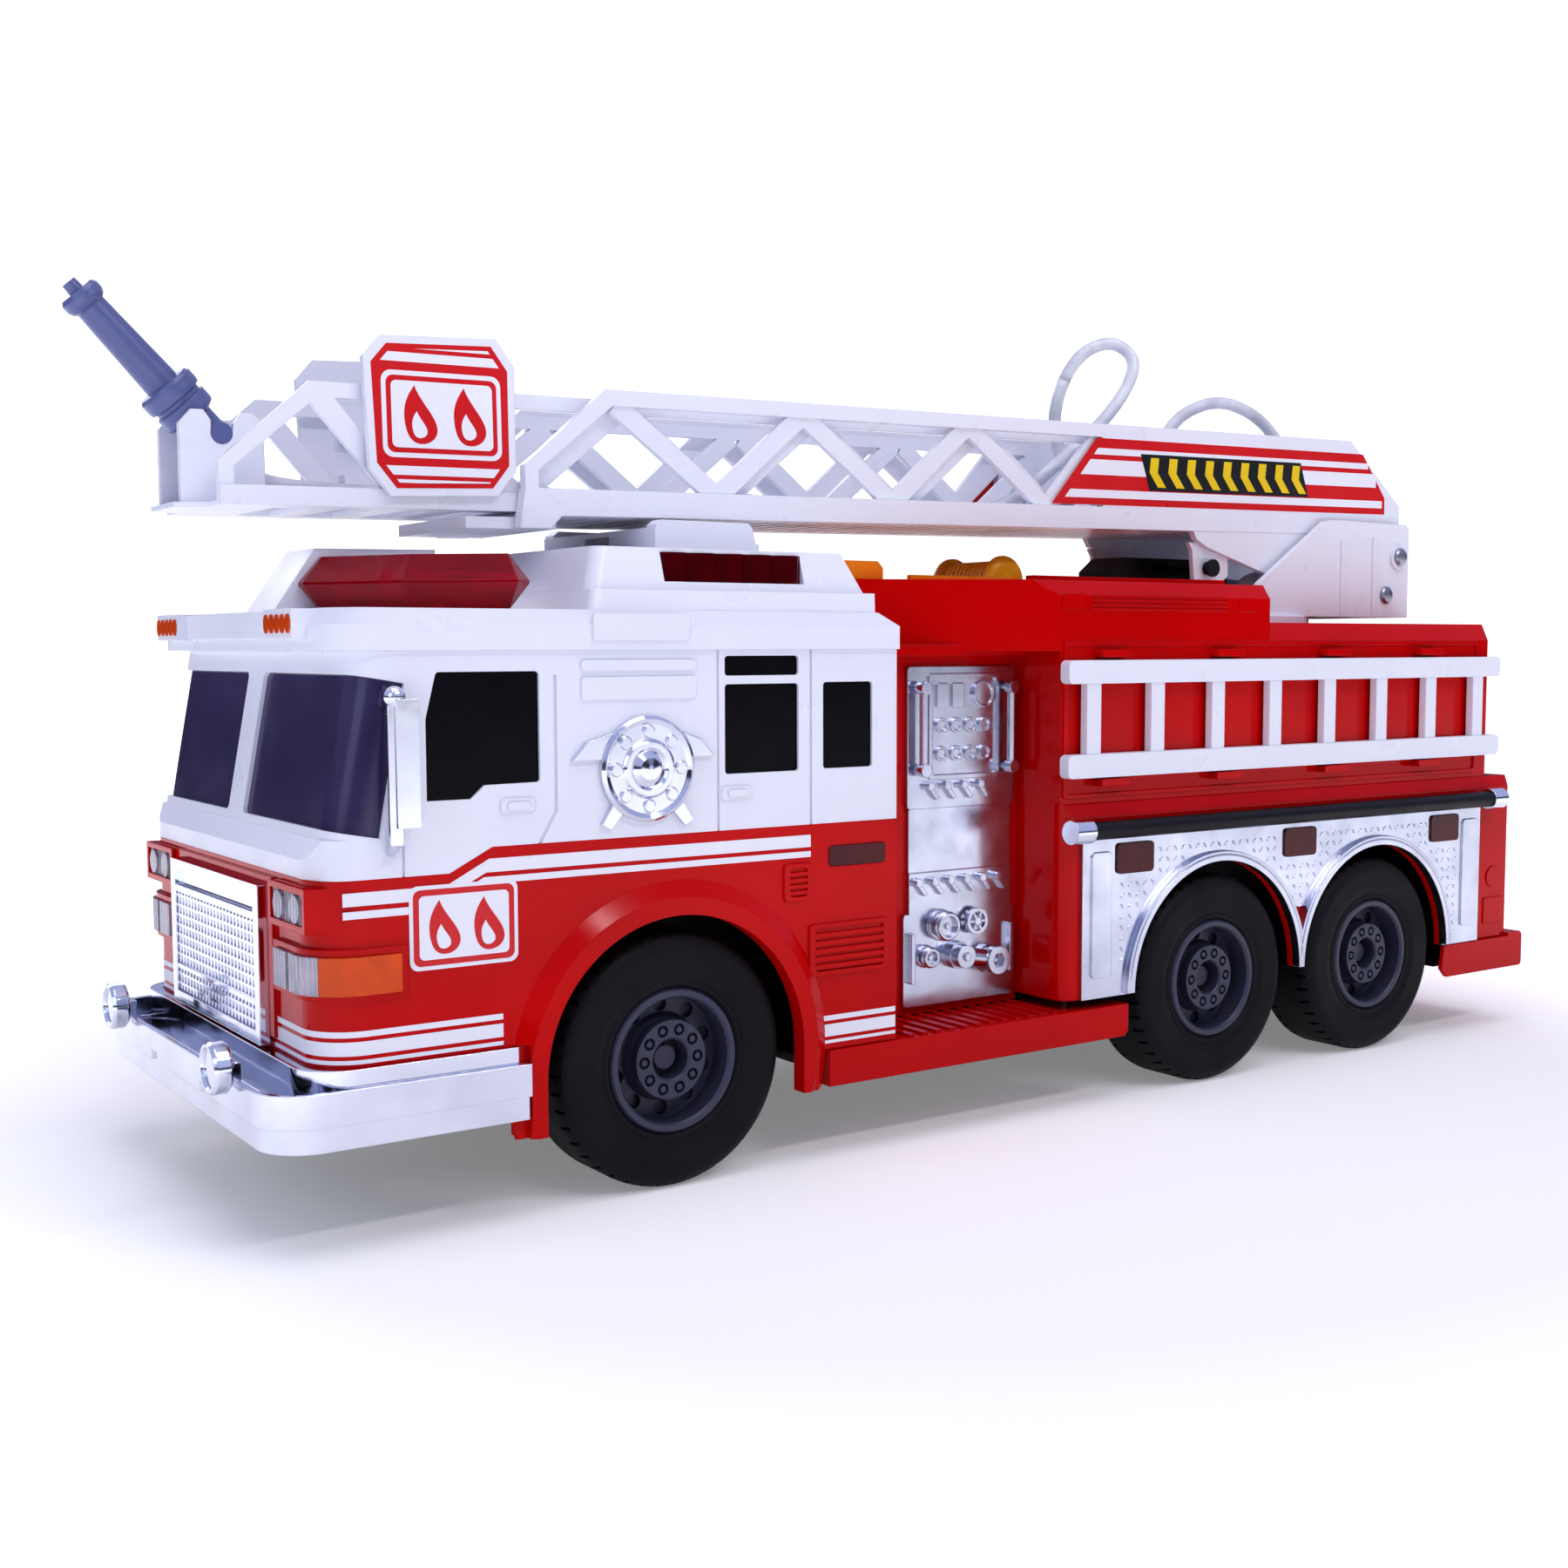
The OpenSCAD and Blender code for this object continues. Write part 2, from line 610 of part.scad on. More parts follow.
// Chrome mirror: a half-round head on an upright bar with a ball top.
module mirror_left() {
    bar_x = 84;
    bar_y = 80;
    color(chrome) {
        difference() {
            translate([bar_x - 0.6, bar_y + 2.6, 110.5]) cylinder(r = 3.2, h = 33, $fn = 32);
            block([bar_x - 12, bar_y + 4.2, 105], [bar_x + 6, bar_y + 12, 150]);
        }
        translate([bar_x + 1.6, bar_y, 106]) cylinder(r = 2, h = 38, $fn = 24);
        translate([bar_x + 1.6, bar_y, 144]) sphere(r = 2.9, $fn = 24);
        translate([bar_x + 1.6, 76, 104]) rotate([-62, 0, 0]) cylinder(r = 1.5, h = 5, $fn = 24);
        translate([bar_x + 1.6, 76, 140]) rotate([-90, 0, 0]) cylinder(r = 1.3, h = 4, $fn = 24);
    }
}

module mirror_right() { mirror([0, 1, 0]) mirror_left(); }

// Chrome side badge: a round medallion with two pointed wings and plain rings.
module side_badges() {
    cx = 9.5;
    cz = 122.5;
    color(chrome) both_sides() {
        translate([cx, body_half, cz]) rotate([-90, 0, 0]) rotate_extrude($fn = 64)
            polygon([[0, 0], [15, 0], [15, 1.6], [14, 2.4], [12.6, 1.7], [8.4, 1.7], [7.6, 2.6],
                [6, 2.6], [5.2, 1.8], [3.2, 3], [0, 3.4]]);
        for (k = [0 : 7]) translate([cx + 10.5 * cos(45 * k), body_half, cz + 10.5 * sin(45 * k)])
            rotate([-90, 0, 0]) cylinder(r1 = 2.3, r2 = 1.7, h = 2.5, $fn = 24);
        side_prism([[cx + 13, cz + 3], [cx + 24, cz + 3], [cx + 19.5, cz + 8], [cx + 11, cz + 10.4]],
            body_half, body_half + 1.5);
        side_prism([[cx - 13, cz + 3], [cx - 22, cz + 3], [cx - 17.5, cz + 8], [cx - 11, cz + 10.4]],
            body_half, body_half + 1.5);
        side_prism([[cx + 10.4, cz - 8], [cx + 15, cz - 15], [cx + 12, cz - 16.6],
            [cx + 6.8, cz - 10.8]], body_half, body_half + 1.5);
        side_prism([[cx - 10.4, cz - 8], [cx - 15, cz - 15], [cx - 12, cz - 16.6],
            [cx - 6.8, cz - 10.8]], body_half, body_half + 1.5);
    }
}

// ---------- rear body ----------

// Raised shutter on the rear face: a frame with slats.
module tail_shutter() {
    out_x = upper_rear_x - 0.8;
    half = 46;
    low_z = 114;
    top_z = 153;
    slat = 5;
    both_sides() block([out_x, half - 3, low_z], [upper_rear_x + 1, half, top_z]);
    for (z = [low_z, top_z - 3]) block([out_x, -half, z], [upper_rear_x + 1, half, z + 3]);
    for (z = [low_z + slat : slat : top_z - slat])
        block([out_x + 0.3, -half + 1, z], [upper_rear_x + 1, half - 1, z + slat * 0.6]);
}

// Red rear body: lower and upper boxes, pump bays, raised side walls and deck well.
module main_body() {
    color(red) difference() {
        union() {
            cross_prism([
                [-75, 37], [-75, 99], [-73.5, belt_z], [73.5, belt_z], [75, 99], [75, 37]
            ], tail_x, bay_rear_x);
            cross_prism([
                [-upper_half, belt_z - 1], [-upper_half, 158.5], [-69.5, deck_z],
                [69.5, deck_z], [upper_half, 158.5], [upper_half, belt_z - 1]
            ], upper_rear_x, bay_rear_x);
            block([bay_rear_x - 1, -bay_half, shell_floor_z + 0.2], [cab_rear, bay_half, bay_top_z]);
            both_sides() raised_wall();
            both_sides() block([bay_rear_x - 1, bay_half - 1, 153.6], [cab_rear, bay_half + 8, bay_top_z]);
            both_sides() trim_strips();
            both_sides() x_rod(62, 84, 6, tail_x - 0.8, tail_x + 1);
            tail_shutter();
        }
        both_sides() bay_corner();
        body_hollow();
        for (i = [1, 2]) y_rod(axle_x[i], axle_z, arch_r, -90, 90, 96);
        both_sides() block([axle_x[2] - arch_r, 40, 20], [axle_x[1] + arch_r, 90, axle_z]);
        both_sides() block([-174.5 - 5, 40, 20], [-165, 90, 36]);
        translate([turn_x, 0, 150]) cylinder(r = 14.3, h = 30, $fn = 96);
        block([-104.5, -39.5, 140], [-83.5, 39.5, 190]);
        both_sides() for (x = [-166, -386]) translate([x, 60, 20]) cylinder(r = 1.5, h = 24, $fn = 24);
        translate([filler_x, 0, 140]) cylinder(r = 9.2, h = 60, $fn = 48);
    }
}

// Raised wall beside the deck well, with its slanted front part and the low inner coaming.
module raised_wall() {
    linear_wall = [[cab_rear - 1, 43], [-98, 46], [-146, 71], [-152, upper_half],
        [raised_rear_x, upper_half],
        [raised_rear_x, 46], [-152, 46], [-98, 38], [cab_rear - 1, 38]];
    intersection() {
        translate([0, 0, bay_top_z - 2]) linear_extrude(26) polygon(linear_wall);
        cross_prism([[30, 150], [upper_half, 150], [upper_half, 173.5], [69, 178.6], [30, 178.6]], -262,
            -79);
    }
    block([-256, 46, 160], [-160, 50, 181]);
    side_prism([[raised_rear_x, 160], [raised_rear_x, 172], [-249, 178.6], [-240, 178.6], [-240, 160]],
        50, 69);
}

// Cuts the vertical front corner of the rear body back to a radius.
module bay_corner() {
    r = 6;
    translate([bay_rear_x - r, 75 - r, 30]) difference() {
        cube([r + 1, r + 1, 74]);
        translate([0, 0, -1]) cylinder(r = r, h = 76, $fn = 48);
    }
}

// Inside of the rear body, open at the bottom, with posts for the screws and deck bosses.
module body_hollow() {
    difference() {
        union() {
            block([tail_x + wall, -72.5, 20], [bay_rear_x - 3, 72.5, 100]);
            block([upper_rear_x + wall, -70, 90], [bay_rear_x - 3, 70, deck_z - 4]);
            block([bay_rear_x - 4, -bay_half + wall, 20], [cab_rear + 1, bay_half - wall, 151]);
        }
        both_sides() for (x = [-166, -386]) translate([x, 60, 30.2])
            cylinder(r = 4, h = deck_z - 32, $fn = 32);
    }
    block([-240, -43, deck_z - 1], [-112, 43, 190]);
    block([-262, -43, deck_z], [-239, 43, 190]);
}

// Embossed strips and pads on the side of the rear body.
module trim_strips() {
    side_panel(-163, -152, 168.6, 174, 0.8, upper_half - 0.3, upper_half + 0.5);
    side_panel(-247, -238, 168.6, 173.8, 0.8, upper_half - 0.3, upper_half + 0.5);
    for (k = [0 : 3]) side_panel(-232, -166, 168.6 + 1.5 * k, 169.4 + 1.5 * k, 0.3, upper_half - 0.3,
        upper_half + 0.5);
    for (x = [-174, -230.5, -289, -345]) {
        side_panel(x - 6.8, x + 6.8, 152.8, 155.4, 1, upper_half - 0.3, 76.8);
        side_panel(x - 6.8, x + 6.8, 109.2, 111.9, 1, upper_half - 0.3, 76.8);
    }
    difference() {
        side_panel(-380, -153, 105.4, 158.2, 1, upper_half - 0.3, upper_half + 0.7);
        side_panel(-378.6, -154.4, 106.8, 156.8, 1, upper_half - 1, upper_half + 2);
    }
    side_panel(-396.5, -384.5, 43, 53.6, 0.8, 74.7, 75.5);
    y_rod(-390.5, 62, 4.4, 74.7, 75.5, 32);
}

// Red running boards between the front and rear wheels, ribbed where they form the pump step.
module running_boards() {
    front_x = -53.8;
    color(red) both_sides() {
        side_prism([[-180.8, 24.5], [-179, skirt_low_z], [front_x, skirt_low_z], [front_x, 33.8],
            [-180.8, 33.8]], 70.2, 77);
        difference() {
            block([-176, bay_half + 0.2, 30.2], [-80.3, 70.2, 33.8]);
            for (p = screw_points) translate([p[0], p[1], 0]) cylinder(r = 1.65, h = 60, $fn = 24);
        }
        for (k = [0 : 11]) block([-149.5 + 5.6 * k, 51, 33.8], [-147.1 + 5.6 * k, 75.5, 34.6]);
    }
}

// Red rear step across the tail, with a bevelled front edge.
module rear_step() {
    step_top_z = 38.2;
    color(red) {
        difference() {
            side_prism([
                [step_rear_x, 25.2], [step_rear_x + 1, 24], [-359, 24], [-355.5, 27.5], [-357, 36.8],
                [tail_x - 0.1, 36.8], [tail_x - 0.1, step_top_z], [step_rear_x + 1.2, step_top_z],
                    [step_rear_x, step_top_z - 1.2]
            ], -77, 77);
            block([-396.3, -71, 20], [-300, 71, 30.1]);
            block([-396.3, -tub_half - 0.3, 20], [-300, tub_half + 0.3, 40]);
            block([-393, -70, 26], [-300, 70, 40]);
            both_sides() block([-370, 40, 20], [-340, 75.4, 40]);
        }
    }
}

// Chrome diamond-plate panel over the two rear wheels, with rolled arch lips.
module fender_panel_left() {
    plate_y = 75;
    color(chrome) difference() {
        union() {
            side_prism([
                [-379, 37], [-379, 91.4], [-159, 91.4], [-159, 37], [-190, 37], [-190, 60], [-355, 60],
                    [-355, 37]
            ], plate_y, 76.6);
            for (i = [1, 2]) intersection() {
                y_rod(axle_x[i], axle_z, arch_r + 3.4, plate_y, 78.4, 96);
                block([-362.5, 70, axle_z], [-176, 80, 90]);
            }
            side_panel(-172, -163, 44, 87, 1.5, 76.4, 77.3);
            side_panel(-376.5, -367, 44, 87, 1.5, 76.4, 77.3);
        }
        for (i = [1, 2]) y_rod(axle_x[i], axle_z, arch_r, 60, 90, 96);
        block([axle_x[2] - arch_r, 60, 30], [axle_x[1] + arch_r, 90, axle_z]);
        for (i = [1, 2]) translate([axle_x[i], 78.5, axle_z]) rotate([90, 0, 0]) rotate_extrude($fn = 96)
            polygon([[arch_r + 1, -1], [arch_r + 2.2, 0.5], [arch_r + 3.4, -1]]);
    }
}

module fender_panel_right() { mirror([0, 1, 0]) fender_panel_left(); }

// Black grab rails along the rear body.
rail_y = 79.4;
rail_z = 94.8;
module handrails() {
    color(black) both_sides() x_rod(rail_y, rail_z, 3.1, -384, -156, 32);
}

// Chrome end brackets that hold the grab rails.
module handrail_brackets() {
    color(chrome) both_sides() for (x = [-388, -159]) difference() {
        union() {
            x_rod(rail_y, rail_z, 4.1, x, x + 8.5, 32);
            block([x + 1.5, 75, rail_z - 2.2], [x + 7, rail_y, rail_z + 2.2]);
        }
        x_rod(rail_y, rail_z, 3.1, -384, -156, 32);
    }
}

// White ground ladder clipped to the side of the upper box.
module side_ladder_left() {
    inner_y = 73.2;
    outer_y = 77.4;
    color(white) {
        side_panel(-388.6, -151.2, 144, 151.9, 2, inner_y, outer_y);
        side_panel(-388.6, -151.2, 112.4, 120.4, 2, inner_y, outer_y);
        for (k = [0 : 7]) block([-166.5 - 30.25 * k, inner_y + 0.6, 120.4],
            [-160 - 30.25 * k, outer_y - 0.6, 144]);
    }
}

module side_ladder_right() { mirror([0, 1, 0]) side_ladder_left(); }

// Chrome pump panel in the left bay: gauges, grab bars, levers, ports and intake.
module pump_panel_left() {
    y0 = bay_half;
    y1 = y0 + 1.8;
    left_x = -103.5;
    right_x = -149.5;
    color(chrome) {
        side_panel(right_x, left_x, 103, 150, 1.2, y0, y1);
        side_panel(right_x + 0.8, left_x - 0.8, 81.6, 103.1, 0.6, y0, y1 - 0.4);
        side_panel(right_x + 0.8, left_x - 0.8, 68, 81.7, 0.6, y0, y1);
        side_panel(right_x, left_x + 1.5, 37, 68.1, 1.2, y0, y1);
        difference() {
            side_panel(-142.5, -112, 112.5, 147.6, 1, y1 - 0.2, y1 + 0.8);
            side_panel(-141, -113.5, 114, 146.2, 1, y1, y1 + 2);
        }
        for (x = [-118, -124.5]) side_panel(x - 2.6, x + 2.6, 136.2, 144.4, 0.6, y1 - 0.2, y1 + 0.9);
        gauge(-135.6, 140.6, 4.6);
        for (r = [0, 1]) for (k = [0 : 3]) gauge(-117.4 - 6.2 * k, 130.4 - 9.4 * r, 2.5);
        for (x = [-107.6, -145.6]) {
            y_post = y1 + 3.4;
            translate([x, y_post, 116]) cylinder(r = 1.5, h = 27, $fn = 24);
            for (z = [116, 143]) {
                y_rod(x, z, 2.2, y_post - 1.6, y_post + 1.8, 24);
                y_rod(x, z, 1.1, y1 - 0.2, y_post - 1, 20);
            }
        }
        for (k = [0 : 3]) lever(-113.5 - 7.2 * k, 108.4);
        for (k = [0 : 5]) lever(-108.6 - 6.9 * k, 76.6);
        port(-117.5, 63.6, 5.2, 5.5);
        port(-111, 53.6, 3.8, 4.5);
        valve_wheel(-131.5, 64);
        elbow_intake(-124, -138, 50.5);
        for (x = [-147.6, -104.6]) side_panel(x - 0.8, x + 0.8, 45, 62, 0.6, y1 - 0.2, y1 + 2.2);
    }
}

// A round gauge with a raised rim.
module gauge(x, z, r) {
    translate([x, bay_half + 1.6, z]) rotate([-90, 0, 0]) rotate_extrude($fn = 32)
        polygon([[0, 0], [r, 0], [r, 1.4], [r - 0.7, 1.4], [r - 1, 0.7], [0, 0.7]]);
}

// A short lever on a small pivot pad.
module lever(x, z) {
    y1 = bay_half + 1.6;
    side_prism([[x - 2.6, z - 1.9], [x - 1.3, z - 2.6], [x + 2.4, z + 1.6], [x + 1.2, z + 2.6]], y1,
        y1 + 1.8);
    y_rod(x + 1.6, z + 2, 1.4, y1, y1 + 2.6, 20);
}

// A ribbed outlet with a recessed mouth, standing off the panel.
module port(x, z, r, reach) {
    lip = r - 0.2;
    mouth = r - 1.7;
    translate([x, bay_half + 1.6, z]) rotate([-90, 0, 0]) rotate_extrude($fn = 32) polygon([
        [0, 0], [r, 0], [r, 1], [r - 1.2, 1.4], [r - 1.2, reach - 2.6], [lip, reach - 2.2],
        [lip, reach - 1.4], [lip - 0.5, reach - 1.1], [lip - 0.5, reach - 0.7],
        [lip - 0.2, reach - 0.4], [lip - 0.6, reach],
        [mouth, reach], [mouth, reach - 1.6], [1, reach - 1.6], [1, reach - 0.8], [0, reach - 0.8]
    ]);
}

// A spoked hand wheel on a stem.
module valve_wheel(x, z) {
    y1 = bay_half + 1.6;
    translate([x, y1, z]) rotate([-90, 0, 0]) {
        cylinder(r = 1.4, h = 3.6, $fn = 24);
        translate([0, 0, 2.2]) rotate_extrude($fn = 40)
            polygon([[3.2, 0], [4.6, 0], [4.6, 1.2], [3.2, 1.2]]);
        for (a = [0, 60, 120]) rotate([0, 0, a]) translate([-3.6, -0.5, 2.3]) cube([7.2, 1, 1]);
    }
}

// A hose elbow that runs along the panel to a hex-capped intake.
module elbow_intake(x0, x1, z) {
    y1 = bay_half + 1.6;
    y_rod(x0, z + 2.5, 4.6, y1 - 0.2, y1 + 3, 32);
    y_rod(x0, z + 2.5, 3.9, y1 + 2.8, y1 + 6.6, 32);
    y_rod(x0, z + 2.5, 1.5, y1 + 6.4, y1 + 7.4, 6);
    translate([x0, y1 + 3.4, z + 2.5]) rotate([0, -100, 0]) cylinder(r = 3, h = x0 - x1, $fn = 32);
    difference() {
        union() {
            y_rod(x1, z, 5, y1 - 0.2, y1 + 1.6, 32);
            y_rod(x1, z, 3.8, y1 + 1.4, y1 + 4.2, 32);
            y_rod(x1, z, 4.8, y1 + 4, y1 + 7, 32);
        }
        y_rod(x1, z, 2.6, y1 + 5, y1 + 8, 6);
    }
}

module pump_panel_right() { mirror([0, 1, 0]) pump_panel_left(); }

// ---------- deck ----------

deck_floor_z = deck_z - 1;
filler_x = -128;

// Orange tray in the deck well: floor, low rim and two cradles for the reel.
reel_x = -177.3;
reel_z = 180.6;
module deck_tray() {
    color([0.98, 0.55, 0.05]) difference() {
        union() {
            block([-204, -42.7, deck_floor_z], [-112.3, 42.7, deck_floor_z + 2]);
            both_sides() block([-160, 40.2, deck_floor_z + 1], [-112.3, 42.7, 180.4]);
            both_sides() side_prism([
                [reel_x - 9, deck_floor_z + 1], [reel_x - 3.4, reel_z], [reel_x + 3.4, reel_z],
                    [reel_x + 9, deck_floor_z + 1]
            ], 17.4, 20);
        }
        y_rod(reel_x, reel_z, 2.06, -30, 30);
        translate([filler_x, 0, 150]) cylinder(r = 9.2, h = 40, $fn = 48);
    }
}

// Yellow hose reel: ribbed drum between two flanges, with stub axles.
module hose_reel() {
    rib_count = 11;
    color([0.98, 0.78, 0.03]) translate([reel_x, -16.9, reel_z]) rotate([-90, 0, 0])
        rotate_extrude($fn = 64) polygon(concat(
        [[0, -2.8], [2, -2.8], [2, 0], [6.2, 0], [8.2, 0.8], [9, 2], [9, 3.2], [7, 3.8]],
        [for (k = [0 : rib_count - 1], s = [[6.4, 0.2], [7.3, 0.8], [7.3, 1.5], [6.4, 2.1]]) [s[0],
            4.2 + 2.35 * k + s[1]]],
        [[7, 30], [9, 30.6], [9, 31.8], [8.2, 33], [6.2, 33.8], [2, 33.8], [2, 36.6], [0, 36.6]]
    ));
}

// Orange filler cap of the water tank, with a grip bar.
module filler_cap() {
    color([0.95, 0.45, 0.04]) translate([filler_x, 0, 0]) {
        translate([0, 0, 146]) cylinder(r = 7, h = 21, $fn = 48);
        translate([0, 0, deck_floor_z + 2]) cylinder(r = 10.5, h = 3, $fn = 48);
        block([-8, -1.4, deck_floor_z + 4.8], [8, 1.4, 176]);
    }
}

// Wide orange push button of the water pump, with its plunger stem.
pump_x = -94;
pump_top_z = 140;
stem_r = 4;
module pump_button() {
    color([0.95, 0.45, 0.04]) {
        difference() {
            side_prism([[-103.5, 158], [-103.5, 182.6], [-101.3, 184.8], [-85.4, 184.8], [-84.5, 184],
                [-84.5, 158]], -38.5, 38.5);
            block([-101.5, -36.5, 150], [-86.5, 36.5, 182.4]);
        }
        translate([pump_x, 0, 112]) cylinder(r = stem_r, h = 71, $fn = 48);
        translate([pump_x, 0, 108]) cylinder(r = 9.7, h = 5, $fn = 48);
    }
}

// Pump barrel under the button, fixed in the bay block.
module pump_cylinder() {
    cap_z = 137;
    color([0.75, 0.75, 0.78]) translate([pump_x, 0, 0]) difference() {
        union() {
            translate([0, 0, 92]) cylinder(r = 12, h = pump_top_z - 92, $fn = 64);
            translate([0, 0, 84]) cylinder(r = 3, h = 9, $fn = 32);
            block([-12, -bay_half + wall, cap_z], [12, bay_half - wall, pump_top_z]);
        }
        translate([0, 0, 95]) cylinder(r = 10, h = cap_z - 95, $fn = 64);
        translate([0, 0, 120]) cylinder(r = stem_r + 0.06, h = 40, $fn = 48);
        translate([0, 0, 80]) cylinder(r = 1.6, h = 20, $fn = 24);
    }
}

// Return spring between the pump barrel and the button.
module pump_spring() {
    turns = 6;
    wire_r = 0.7;
    coil_r = 5.9;
    z0 = pump_top_z + wire_r + 0.1;
    rise = 182.3 - wire_r - z0;
    steps = turns * 16;
    function coil_point(t) = [pump_x + coil_r * cos(360 * turns * t), coil_r * sin(360 * turns * t),
        z0 + rise * t];
    color("silver") tube([for (k = [0 : steps]) coil_point(k / steps)], wire_r, 6);
}

// ---------- turntable and ladder ----------

// White turntable: disc, hollow post and the bevelled side plates that carry the ladder.
module turntable() {
    plate_in = 32.5;
    plate_out = 35;
    floor_z = deck_z + 3.2;
    front_x = -290;
    back_x = -385;
    outline = [
        [back_x, floor_z], [back_x, 205], [back_x + 2, 207], [-336, 207.4], [-331.5, 206.6],
        [-292.5, 181.2], [front_x, 178], [front_x, floor_z]
    ];
    color(white) difference() {
        union() {
            translate([turn_x, 0, deck_z + 0.2]) cylinder(r = turn_r, h = 3.1, $fn = 96);
            translate([turn_x, 0, deck_z - 6]) cylinder(r = 14, h = 7, $fn = 96);
            block([back_x, -plate_out, floor_z], [front_x, plate_out, floor_z + 2.5]);
            both_sides() side_prism(outline, plate_in, plate_out);
            both_sides() {
                block([-344, plate_out, floor_z], [-341, plate_out + 0.7, 199]);
                block([-364, plate_out, floor_z], [-361, plate_out + 0.7, 201]);
                y_rod(hinge_x, hinge_z, 5.4, plate_out - 0.1, plate_out + 1);
            }
            block([back_x, -plate_in, floor_z], [back_x + 2.2, plate_in, 181]);
            translate([turn_x, 14, floor_z + 2.4]) cylinder(r = 4, h = 3.6, $fn = 32);
        }
        y_rod(hinge_x, hinge_z, 2.5 + snug, -60, 60);
        y_rod(strut_foot[0], strut_foot[1], 2.5, -60, 60);
        translate([turn_x, 0, 150]) cylinder(r = 9, h = floor_z - 150, $fn = 48);
        translate([turn_x, 14, floor_z - 1]) cylinder(r = 1.6, h = 12, $fn = 24);
    }
}

// Black retaining ring under the deck that keeps the turntable down.
module turntable_retainer() {
    color(black) difference() {
        translate([turn_x, 0, deck_z - 9.4]) cylinder(r = 20, h = 3.4, $fn = 64);
        translate([turn_x, 0, deck_z - 12]) cylinder(r = 9, h = 12, $fn = 48);
    }
}

// Foot pivot of the lift strut, as X and Z.
strut_foot = [-370.4, 177.5];

// Steel pins: the ladder hinge and the foot of the lift strut, with domed heads.
module ladder_pin() {
    color("silver") {
        y_rod(hinge_x, hinge_z, 2.5, -37, 37);
        y_rod(strut_foot[0], strut_foot[1], 2.5, -36, 36);
        both_sides() {
            pin_head(hinge_x, hinge_z, 36);
            pin_head(strut_foot[0], strut_foot[1], 35);
        }
    }
}

// A domed head on the left end of a pin.
module pin_head(x, z, y) {
    translate([x, y, z]) rotate([-90, 0, 0]) rotate_extrude($fn = 48)
        polygon([[0, 0], [3.6, 0], [3.6, 0.8], [2.8, 1.5], [1.4, 1.8], [0, 1.9]]);
}

// Turns ladder coordinates, drawn from the hinge with X along the ladder, into the vehicle frame.
module on_ladder() {
    translate([hinge_x, 0, hinge_z]) rotate([0, stow_tilt, 0]) children();
}

// Heights on the ladder above its hinge, and the end of the solid side panels.
floor_w = 9.2;
rail_w = 17.3;
top_w = 47.4;
panel_end_u = 170;

// Base ladder: lattice sides, bottom rails, ribbed floor, rear panels and pivot cheeks.
module ladder_base() {
    inner = base_half - 4.5;
    web_in = inner + 1.2;
    web_out = base_half - 1.2;
    brace_pitch = 70.3;
    tongue_u = 418;
    color(white) on_ladder() difference() {
        union() {
            both_sides() {
                side_prism([[-6.5, floor_w], [-6.5, rail_w], [base_len, rail_w], [base_len + 2, 5.4],
                    [base_len - 8, 5.4], [base_len - 12, floor_w]], inner, base_half);
                side_prism([
                    [-6.5, floor_w + 1], [-6.5, 21.4], [25.3, top_w], [373.2, top_w], [base_len, 23.9],
                        [base_len, floor_w + 1],
                    [base_len - 4.5, floor_w + 1], [base_len - 4.5, 22.4], [370.8, 42.6],
                        [panel_end_u - 4, 42.6],
                    [panel_end_u - 4, floor_w + 1]
                ], web_in, base_half);
                for (k = [0 : 2]) {
                    foot = 192.4 + brace_pitch * k;
                    brace(foot, rail_w - 1, foot + 36.4, 43.4, web_in, web_out);
                    brace(foot, rail_w - 1, foot - 33, 43.4, web_in, web_out);
                }
                brace(panel_end_u - 4, 43.4, 192.4, rail_w - 1, web_in, web_out);
                side_prism([
                    [118, floor_w + 0.1], [116, 6], [110, 3], [62, -11.4], [22, -10], [7, -6.6],
                        [-6.5, -5.4], [-8, -2],
                    [-6.5, floor_w + 0.1]
                ], 27.5, base_half - 0.2);
                side_prism([[96, 5], [118, 5], [116, 2], [115, -10.5], [102, -12], [96, -8]], 26, 28);
            }
            block([-6.5, -inner - 0.1, floor_w], [base_len, inner + 0.1, floor_w + 1]);
            block([base_len - 8, -inner + 1, 5.4], [tongue_u, inner - 1, 8.9]);
            block([base_len - 12, -inner - 0.1, 5.4], [base_len, inner + 0.1, floor_w + 0.5]);
            both_sides() block([140, inner - 1.4, 16.3], [base_len - 6, inner + 0.1, rail_w]);
        }
        y_rod(0, 0, 2.5 + snug, -60, 60);
        y_rod(strut_top[0], strut_top[1], 2.5, -60, 60);
        block([10, -14, floor_w - 2], [52, 14, floor_w + 3]);
        for (k = [0 : 42]) block([64 + 7.6 * k, -inner + 4, floor_w - 0.5],
            [66.6 + 7.6 * k, inner - 4, floor_w + 0.4]);
    }
}

// A slanted flat bar between two points of the ladder side.
module brace(u0, w0, u1, w1, y0, y1) {
    half = 3.2;
    d = [u1 - u0, w1 - w0] / norm([u1 - u0, w1 - w0]);
    n = [-d[1], d[0]] * half;
    side_prism([[u0, w0] + n, [u1, w1] + n, [u1, w1] - n, [u0, w0] - n], y0, y1);
}

